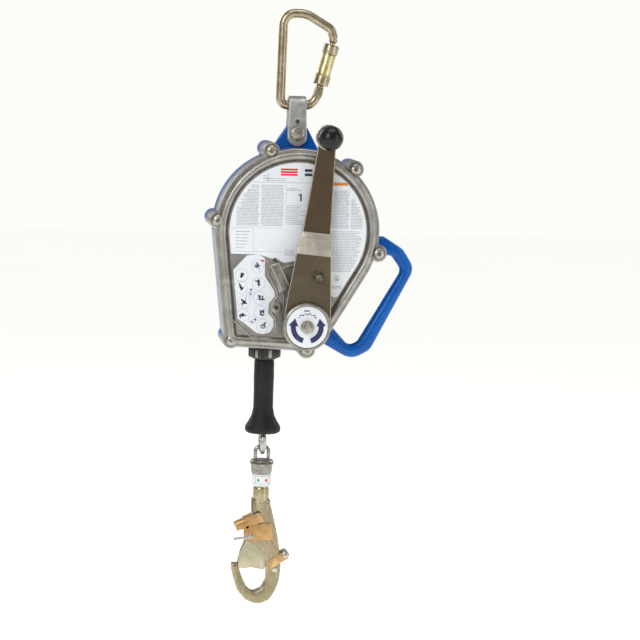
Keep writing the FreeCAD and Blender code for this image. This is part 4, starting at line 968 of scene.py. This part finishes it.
# ---------------------------------------------------------------- crank hub
piece = Piece("hub_dish", "crank", "hub_metal", ["crank_hub_disc"])
piece.lathe([(7.2, 64.2), (25.2, 64.2), (26.2, 65.2, 0.4), (26.2, 67.8, 0.6), (25.4, 69.3, 0.8),
    (24, 69.9, 0.3), (22.9, 69.7), (22.6, 69.2), (7.2, 69.2)], CRANK, FRONTWARD, 96)
piece.done()
piece = Piece("hub_face", "crank", "label_film", ["hub_label"])
piece.lathe([(7, 69.2), (22.4, 69.2), (22.4, 69.9, 0.1), (7, 69.9)], CRANK, FRONTWARD, 96)
piece.use("ink_blue")
ink_y = -70.05
for start, end, root, tip in ((254, 174, 175, 144), (-74, 6, 5, 36)):
    root, tip = radians(root), radians(tip)
    outer_line = curve((0, 0), 18, start, end, 18)
    inner_line = curve((0, 0), 12.4, start, end, 18)
    for step in range(18):
        piece.patch(outer_line[step:step + 2] + [inner_line[step + 1], inner_line[step]], ink_y, CRANK)
    piece.patch([(9.9 * cos(root), 9.9 * sin(root)), (20.6 * cos(root), 20.6 * sin(root)),
        (16.4 * cos(tip), 16.4 * sin(tip))], ink_y, CRANK)
for count in range(9):
    angle = radians(130 - 80 * count / 8)
    radius = 13.9 + (1.1 if count % 2 else 0)
    piece.bar(radius * cos(angle) - 1, radius * cos(angle) + 0.9, radius * sin(angle) - 0.7,
        radius * sin(angle) + (0.7 if count % 3 else 0.1), ink_y, CRANK)
piece.bar(-3.8, 2.2, 17.2, 18.4, ink_y, CRANK)
piece.done(merge=False)

hub_front = -low("hub_nut").y
piece = Piece("hub_nut_set", "crank", "bolt_steel", ["hub_nut", "crank_shaft"])
piece.lathe([(4.4, 69.9), (7.3, 69.9), (7.3, 70.8, 0.3), (4.4, 71)], CRANK, FRONTWARD, 48)
piece.lathe([(4.4, 71), (6.4, 71), (6.9, 71.5), (6.9, hub_front - 1.2), (5.9, hub_front - 0.1, 0.3),
    (4.4, hub_front - 0.1)], CRANK, FRONTWARD, 72, hexed(12.2))
thread = [(AXIS, -37), (6.9, -37), (6.9, 68), (4.4, 68), (4.4, hub_front)]
thread += [(4.4 if step % 2 else 4, hub_front + 0.35 * step) for step in range(1, 5)]
piece.lathe(thread + [(3.6, hub_front + 1.9), (AXIS, hub_front + 1.9)], CRANK, FRONTWARD, 48)
piece.done()

# ---------------------------------------------------------------- knob
ball_y = 78
ball_radius = 13.45
piece = Piece("knob_round", "knob", "knob_black", ["knob_ball"])
profile = [(4.1, 58.5), (7.6, 58.5, 0.4), (7.4, 62, 1), (7, 66.6, 1.2)]
for step in range(1, 25):
    angle = -0.98 + (pi / 2 + 0.98) * step / 25
    profile.append((ball_radius * cos(angle), ball_y + ball_radius * sin(angle)))
piece.lathe(profile + [(AXIS, ball_y + ball_radius)], KNOB, FRONTWARD, 72)
piece.done()
piece = Piece("knob_stud_set", "crank", "bolt_steel", ["knob_stud"])
piece.lathe([(3.9, 56), (13.6, 56, 0.2), (13.9, 56.5, 0.2), (13.9, 57.4, 0.3), (12.9, 57.9, 0.2),
    (3.9, 57.9)], KNOB, FRONTWARD, 64)
piece.solid([(7, 48.9, 0.6), (7.9, 50, 0.6), (7.9, 51.9)], KNOB, FRONTWARD, 48)
piece.lathe(disc(3.95, 51, 87), KNOB, FRONTWARD, 24)
piece.done()

# ---------------------------------------------------------------- cable outlet and bumper


def ribbed(angle, height, radius):
    """Twelve grooves round the collar."""
    if radius < 17:
        return radius
    swing = (angle / (2 * pi) * 12) % 1
    return radius - (0.9 if swing < 0.12 or swing > 0.88 else 0)


outlet = Vector((ROPE.x, 0, high("cable_nozzle").z))
piece = Piece("outlet_collar", "housing", "black_plastic", ["cable_nozzle"])
piece.lathe([(9, 0), (12.8, 0), (12.8, -9.4), (17.6, -10.3, 0.4), (17.9, -11), (17.9, -19.4, 0.8),
    (17, -20.4, 0.4), (13.4, -20.9, 0.5), (13.2, -22.3, 0.3), (9, -22.3)], outlet, UP, 144, ribbed)
piece.use("plated_steel")
for x in (-10.2, 4.4):
    y = -sqrt(max(1, 17.9 ** 2 - x * x))
    piece.slab([(x - 1.8, -19.8, 0.6), (x + 1.8, -19.8, 0.6), (x + 1.8, -11, 0.6), (x - 1.8, -11, 0.6)],
        y - 0.6, y + 1.2, 0.25, outlet)
piece.done()

bumper_head = Vector((ROPE.x, 0, high("bumper").z))
deep = high("bumper").z - low("bumper").z
piece = Piece("bumper_sleeve", "lifeline", "bumper_rubber", ["bumper"])
piece.lathe([(2.6, -5), (7, -5), (7.4, 0, 0.4), (10.4, -0.1, 0.8), (10.9, -2.6), (11.2, -18), (10.9, -40),
    (11, -54, 6), (12.6, -62.5, 8), (15.4, -68.2, 7), (19.1, -74.2, 2.4), (19.9, -77.4, 1.4),
    (19.2, -80.6, 1.2), (16.6, -deep + 0.05, 0.8), (15.2, -deep + 0.4, 0.4), (14.4, -deep + 3), (6.2, -70),
    (6, -6), (2.6, -6)], bumper_head, UP, 72)
piece.band((-3.2, -6.4), (10.6, 0.55), (11.25, 0.3, 0.15), bumper_head, UP, 72)
piece.done()

# ---------------------------------------------------------------- wire rope, thimble
rope_low = low("lifeline_cable").z
rope_high = high("lifeline_cable").z
piece = Piece("rope_strands", "lifeline", "wire_rope", ["lifeline_cable"])
length = rope_high - rope_low
lay_length = 16
strand_centre = 1.55
for strand in range(7):
    line = []
    for step in range(181):
        share = step / 180
        turn = 2 * pi * (strand / 7 + share * length / lay_length)
        line.append(Vector((ROPE.x + strand_centre * cos(turn), strand_centre * sin(turn),
            rope_low + share * length)))
    piece.tube(line, 0.78, 8)
piece.tube([Vector((ROPE.x, 0, rope_low + length * s / 8)) for s in range(9)], 1.2, 8)
piece.done(60)

piece = Piece("rope_eye", "lifeline", "eye_steel", ["thimble", "cable_ferrule"])
eye_z = -468.5
loop = [(2.9, -448.6), (5.6, -453.2)] + curve((0, eye_z), 11.4, 40, -220, 63)
loop += [(-5.6, -453.2), (-2.9, -448.6)]
piece.tube([Vector((ROPE.x, a, b)) for a, b in loop], 2.75, 16)
piece.tube([Vector((ROPE.x, a, b)) for a, b in curve((0, eye_z), 8.9, 58, -238, 47)], 0.9, 10)
for side in (-1, 1):
    groove = [Vector((ROPE.x + side * 2.9, a, b)) for a, b in curve((0, eye_z), 10.2, 50, -230, 47)]
    piece.tube(groove, 0.62, 8)
piece.use("plated_steel")
piece.lathe([(2.3, -434), (5.2, -434, 0.8), (5.7, -432, 0.4), (5.7, -390, 0.4), (5.2, -388, 0.8),
    (2.3, -388)], ROPE, UP, 40)
piece.done()

# ---------------------------------------------------------------- swivel
bail_top = -474.2
piece = Piece("swivel_link", "swivel", "plated_steel", ["swivel_bail"])
bail = fillet([(-7.35, -491), (-7.35, bail_top, 4.5), (7.35, bail_top, 4.5), (7.35, -491)], False, 8)
piece.tube([Vector((ROPE.x + p.x, 0, p.y)) for p in spaced(bail, 60)], 2.1, 18)
piece.done()
piece = Piece("swivel_cup", "swivel", "cup_nickel", ["swivel_body"])


def fluted(angle, height, radius):
    """Shallow flutes round the cup."""
    return radius - (0.6 * abs(sin(angle * 6)) if -503.5 < height < -492.8 else 0)


piece.solid([(10.2, -503.9), (11.2, -503.2, 0.3), (11.6, -501.5), (12.4, -492.6, 0.6), (13.1, -491.8, 0.3),
    (13.2, -490, 0.6), (12, -488.4, 0.8), (10.6, -488.1, 0.3)], ROPE, UP, 108, fluted)
piece.use("plunger_steel")
piece.lathe([(12.4, -492.6), (13.26, -492.3, 0.2), (13.26, -490.2, 0.2), (12.4, -489.8)], ROPE, UP, 108)
piece.done(20)
piece = Piece("load_indicator", "swivel", "indicator_white", ["impact_indicator", "swivel_stud"])
piece.solid([(10.6, -504, 0.2), (10.6, -505.2), (10.95, -505.4), (10.95, -515.9), (10.6, -516.2),
    (10.6, -517.3, 0.2), (4.9, -517.3), (4.9, -526)], ROPE, UP, 72)
piece.use("ink_pale")
piece.band((-506, -514.6), (10.8, 0.22), (10.99, 0.2), ROPE, UP, 72)


PRINT_RADIUS = 11.02


def wrapped(corners):
    """Print on the round band; corners are (angle, height)."""
    base = len(piece.vertices)
    piece.vertices += [Vector((ROPE.x + PRINT_RADIUS * sin(a), -PRINT_RADIUS * cos(a), z))
        for a, z in corners]
    piece.face(tuple(range(base, base + len(corners))))


def dot_rise(a):
    """Half height of a dot at this angle from its middle."""
    return 11 * sqrt(max(0.0225 - a * a, 0.0006))


dot_z = -510.4
for side, tone in ((-1, "ink_green"), (1, "ink_red")):
    piece.use(tone)
    for step in range(-3, 3):
        a, b = step * 0.05, (step + 1) * 0.05
        shift = side * 0.4
        wrapped([(shift + a, dot_z - dot_rise(a)), (shift + b, dot_z - dot_rise(b)),
            (shift + b, dot_z + dot_rise(b)), (shift + a, dot_z + dot_rise(a))])
    piece.use("ink_pale")
    left, right = side * 0.78 - 0.07, side * 0.78 + 0.07
    for row in range(3):
        foot = -509 - row * 2.2
        wrapped([(left, foot), (right, foot), (right, foot + 0.9), (left, foot + 0.9)])
piece.done(merge=False)

# ---------------------------------------------------------------- snap hook
piece = Piece("hook_forging", "hook", "hook_zinc", ["hook_body"])
outline = [(-6, -533), (9.5, -533), (11.8, -542.8, 10), (16.4, -561, 10), (19.6, -575, 12), (21.8, -588, 14),
    (23.8, -608, 14), (22.4, -624, 12), (18, -636, 10), (11.8, -645.6, 10), (-1, -651.4, 14),
    (-15.5, -646, 13), (-24.8, -635, 12), (-29, -621.5, 8), (-31.6, -611, 3), (-31.4, -604.8, 1.5),
    (-24.3, -604.8, 1.5), (-22.4, -611.2, 1.5), (-20.6, -617, 3), (-18.4, -622.5, 5), (-14, -631.5, 6),
    (-7.4, -637.2, 5), (2.4, -633, 6), (7, -624, 6), (7.5, -611, 7), (4.2, -592, 10), (-2, -584, 5),
    (-16, -583, 3), (-16, -567.4, 3), (-2.2, -561.2, 1.2), (-1.2, -552, 3), (-3.5, -540, 4)]
rounding = ((1, 2.6), (0.97, 1.6), (0.86, 0.6), (0.62, 0.1), (0, 0), (-0.62, 0.1), (-0.86, 0.6), (-0.97, 1.6),
    (-1, 2.6))
piece.layers(leftward(fillet(outline)), [(8.9 * share, depth) for share, depth in rounding], ROPE)
neck = leftward(fillet([(-10.6, -558, 3), (-10.6, -531.5, 2.5), (9.6, -531.5, 2.5), (12.2, -545, 6),
    (14, -558, 2)]))
piece.layers(neck, ((5.8, 1.6), (5.4, 0.6), (4.6, 0.1), (0, 0), (-4.6, 0.1), (-5.4, 0.6), (-5.8, 1.6)), ROPE)
# painted shade: dark lines along the seat where the barrel sits in the neck
piece.use("recess")
seat = [(-9.5, -532)] + curve((0, -542.2), 9.5, 180, 360, 12) + [(9.5, -533)]
for y in (-5.75, 5.75):
    piece.tube([Vector((ROPE.x + a, y, b)) for a, b in seat], 0.6, 8)
piece.use("barrel_gold")
profile = [(AXIS, -550.9)] + curve((0, -542.2), 8.85, -90, 0, 8)[1:]
profile += [(8.95, -540), (8.95, -520.4, 0.5), (8.3, -519.2, 0.4), (8.3, -517.8, 0.2), (5.2, -517.8)]
piece.lathe(profile, ROPE, UP, 60)
piece.band((-521.6, -523.4), (8.7, 0.35), (9, 0.15, 0.1), ROPE, UP, 60)
piece.done(32)

piece = Piece("hook_gate_plates", "snap_gate", "gate_zinc", ["hook_gate"])
gate_plate = [(-14.8, -568, 4), (3, -568, 4), (6.6, -600, 5), (5.6, -611.6, 2), (-10, -608.9, 4),
    (-17, -610, 3), (-24.6, -609.2, 1), (-24.3, -604, 2), (-21.6, -592, 6), (-16.4, -578.5, 8)]
for front, back in ((-7.6, -5.3), (5.3, 7.6)):
    piece.slab(gate_plate, front, back, 0.7, ROPE)
piece.slab([(-24.2, -607.6, 1.2), (-21.4, -593, 3), (-18.5, -586, 1.2), (-15, -586, 1.2), (-17.4, -593, 3),
    (-20.2, -608.4, 1.2)], -5.4, 5.4, 0.1, ROPE)
piece.done(32)

piece = Piece("hook_lock", "snap_lock", "lever_orange", ["hook_lock_lever"])
plate = [(-17.5, -561.5, 3), (-3, -559.5, 2), (11.2, -557.5, 2), (14.2, -577.5, 3), (-8, -579, 3),
    (-17.5, -577, 4)]
flange = [(-15.4, -564.6, 1), (-19.6, -554.2, 1), (-1, -545.8, 2.5), (4.6, -556.2, 2)]
tab = [(8.5, -602, 2), (25.5, -591.2, 3), (31.6, -590.8, 3), (31.9, -598.6, 3), (24, -602.5, 3),
    (11.2, -611.6, 2)]
link = [(9, -576, 1), (12.4, -576, 1), (20.5, -590, 2), (18.5, -597, 1), (15.5, -594, 2)]
for front, back, link_front, link_back in ((-10.1, -7.9, -9.2, -7.9), (7.9, 10.1, 7.9, 9.2)):
    piece.use("lever_orange")
    for shape in (plate, tab):
        piece.slab(shape, front, back, 0.6, ROPE)
    piece.slab(flange, front + 0.15, back - 0.15, 0.95, ROPE)
    piece.use("hook_zinc")
    piece.slab(link, link_front, link_back, 0.4, ROPE)
piece.use("lever_orange")
piece.slab([(-25.5, -566.5, 1), (-28, -561.5, 1), (-13.5, -554.5, 1), (-11.5, -558.5, 1), (-14, -564.8, 1)],
    -10.1, 10.1, 0.5, ROPE)
heading = Vector((29.2, 0, 13.2)).normalized()
piece.solid([(5.2, 0, 0.6), (6, 0.9, 0.4), (6, 23.7, 0.4), (5.2, 24.5, 0.6), (3, 24.5), (2.8, 23.4)],
    ROPE + Vector((-28, 0, -564)), heading, 40)
piece.use("rivet_steel")
piece.lathe([(AXIS, 0), (1.5, 0), (1.5, 15.8, 0.5), (AXIS, 16.4)], ROPE + Vector((-14, -9.3, -574.5)),
    Vector((-16.5, 0, -2)), 20)
for front in (-10.1, 5.6):
    piece.lathe([(AXIS, -1.2), (1.6, -1.1), (3, -0.5, 1.5), (4.2, 0.4, 0.5), (4.35, 3.9, 0.5), (3, 5, 1.5),
        (AXIS, 5.5)], ROPE + Vector((28.3, front, -594.6)), REARWARD, 36)
piece.done(32)

piece = Piece("hook_pins", "hook", "rivet_steel", ["hook_rivets"])
for x, z, half in ((-11.1, -574, 10.2), (16.3, -610.6, 8.9)):
    spot = ROPE + Vector((x, 0, z))
    piece.lathe(disc(1.9, -half, half), spot, REARWARD, 20)
    for side in (-1, 1):
        piece.solid([(3.3, half - 0.1), (3.3, half + 0.4, 0.2), (2.4, half + 1.1, 0.4), (0.9, half + 1.28)],
            spot, (0, side, 0), 32)
piece.done()

# ---------------------------------------------------------------- finishes of the CAD nodes
for entry in frame["record"]["subparts"]:
    thing = nodes[entry["node"]]
    finish = MATS[entry["material_slot"]]
    if not thing.material_slots:
        thing.data.materials.append(finish)
    for slot in thing.material_slots:
        slot.material = finish

# ---------------------------------------------------------------- floor, surround, lamps and camera, in metres
PALE = (0.973, 0.982, 0.939, 1)
FLOOR_HALF = 7
FLOOR_GAP = 0.10
FLOOR_GLOW = 0.70
floor_z = before[0][2] - FLOOR_GAP
ground = bpy.data.meshes.new("floor")
floor_corners = [(x * FLOOR_HALF, y * FLOOR_HALF, floor_z) for x, y in ((-1, -1), (1, -1), (1, 1), (-1, 1))]
ground.from_pydata(floor_corners, [], [(0, 1, 2, 3)])
floor = bpy.data.objects.new("floor", ground)
bpy.context.scene.collection.objects.link(floor)
paper = surface("paper", (0.80, 0.80, 0.78), (0.79, 0.79, 0.77), (0.81, 0.81, 0.79),
    0.0, (0.85, 0.95), 3, 60, 0.01, specular=0.1)
paper_shader = paper.node_tree.nodes["Principled BSDF"]
paper_shader.inputs["Emission Color"].default_value = PALE
paper_shader.inputs["Emission Strength"].default_value = FLOOR_GLOW
ground.materials.append(paper)

# studio surround: it lights the object softly, and behind the object the view is plain and pale
world = bpy.data.worlds.new("studio")
world.use_nodes = True
sky = world.node_tree
soft = sky.nodes["Background"]
soft.inputs["Color"].default_value = (1.0, 1.0, 0.985, 1)
soft.inputs["Strength"].default_value = 0.34
pale = add(sky, "Background", Color=PALE, Strength=1.0)
both = sky.nodes.new("ShaderNodeMixShader")
sky.links.new(add(sky, "LightPath").outputs["Is Camera Ray"], both.inputs["Fac"])
sky.links.new(soft.outputs["Background"], both.inputs[1])
sky.links.new(pale.outputs["Background"], both.inputs[2])
sky.links.new(both.outputs["Shader"], sky.nodes["World Output"].inputs["Surface"])
bpy.context.scene.world = world

target = Vector((0.032, -0.022, -0.3294))


def lamp(name, place, size, power):
    """Rectangular lamp that looks at the middle of the object."""
    data = bpy.data.lights.new(name, "AREA")
    data.shape = "RECTANGLE"
    data.size, data.size_y = size
    data.energy = power
    thing = bpy.data.objects.new(name, data)
    thing.location = place
    thing.rotation_mode = "QUATERNION"
    thing.rotation_quaternion = (target - Vector(place)).to_track_quat("-Z", "Y")
    bpy.context.scene.collection.objects.link(thing)


lamp("key", (-1.1, -1.5, 0.7), (0.8, 1.2), 18)
lamp("fill", (1.5, -1.2, 0.0), (0.6, 1.6), 6)
lamp("top", (0.1, -0.3, 1.3), (1.2, 0.8), 7)
lamp("side", (1.6, 0.9, 0.5), (0.8, 1.4), 8)
lamp("rear", (-1.2, 1.6, 0.6), (1.0, 1.4), 12)

azimuth = radians(-7.5)
rise = radians(6.0)
roll = radians(1.6)
CAMERA_REACH = 3.0
backward = Vector((sin(azimuth) * cos(rise), -cos(azimuth) * cos(rise), sin(rise)))
camera_data = bpy.data.cameras.new("camera")
camera_data.sensor_width = 36.0
camera_data.lens = 153.4
camera_data.clip_start = 0.05
camera = bpy.data.objects.new("camera", camera_data)
camera.location = target + backward * CAMERA_REACH
camera.rotation_mode = "QUATERNION"
camera.rotation_quaternion = (-backward).to_track_quat("-Z", "Y") @ Quaternion((0, 0, 1), roll)
bpy.context.scene.collection.objects.link(camera)
bpy.context.scene.camera = camera
bpy.context.scene.view_settings.view_transform = "Standard"
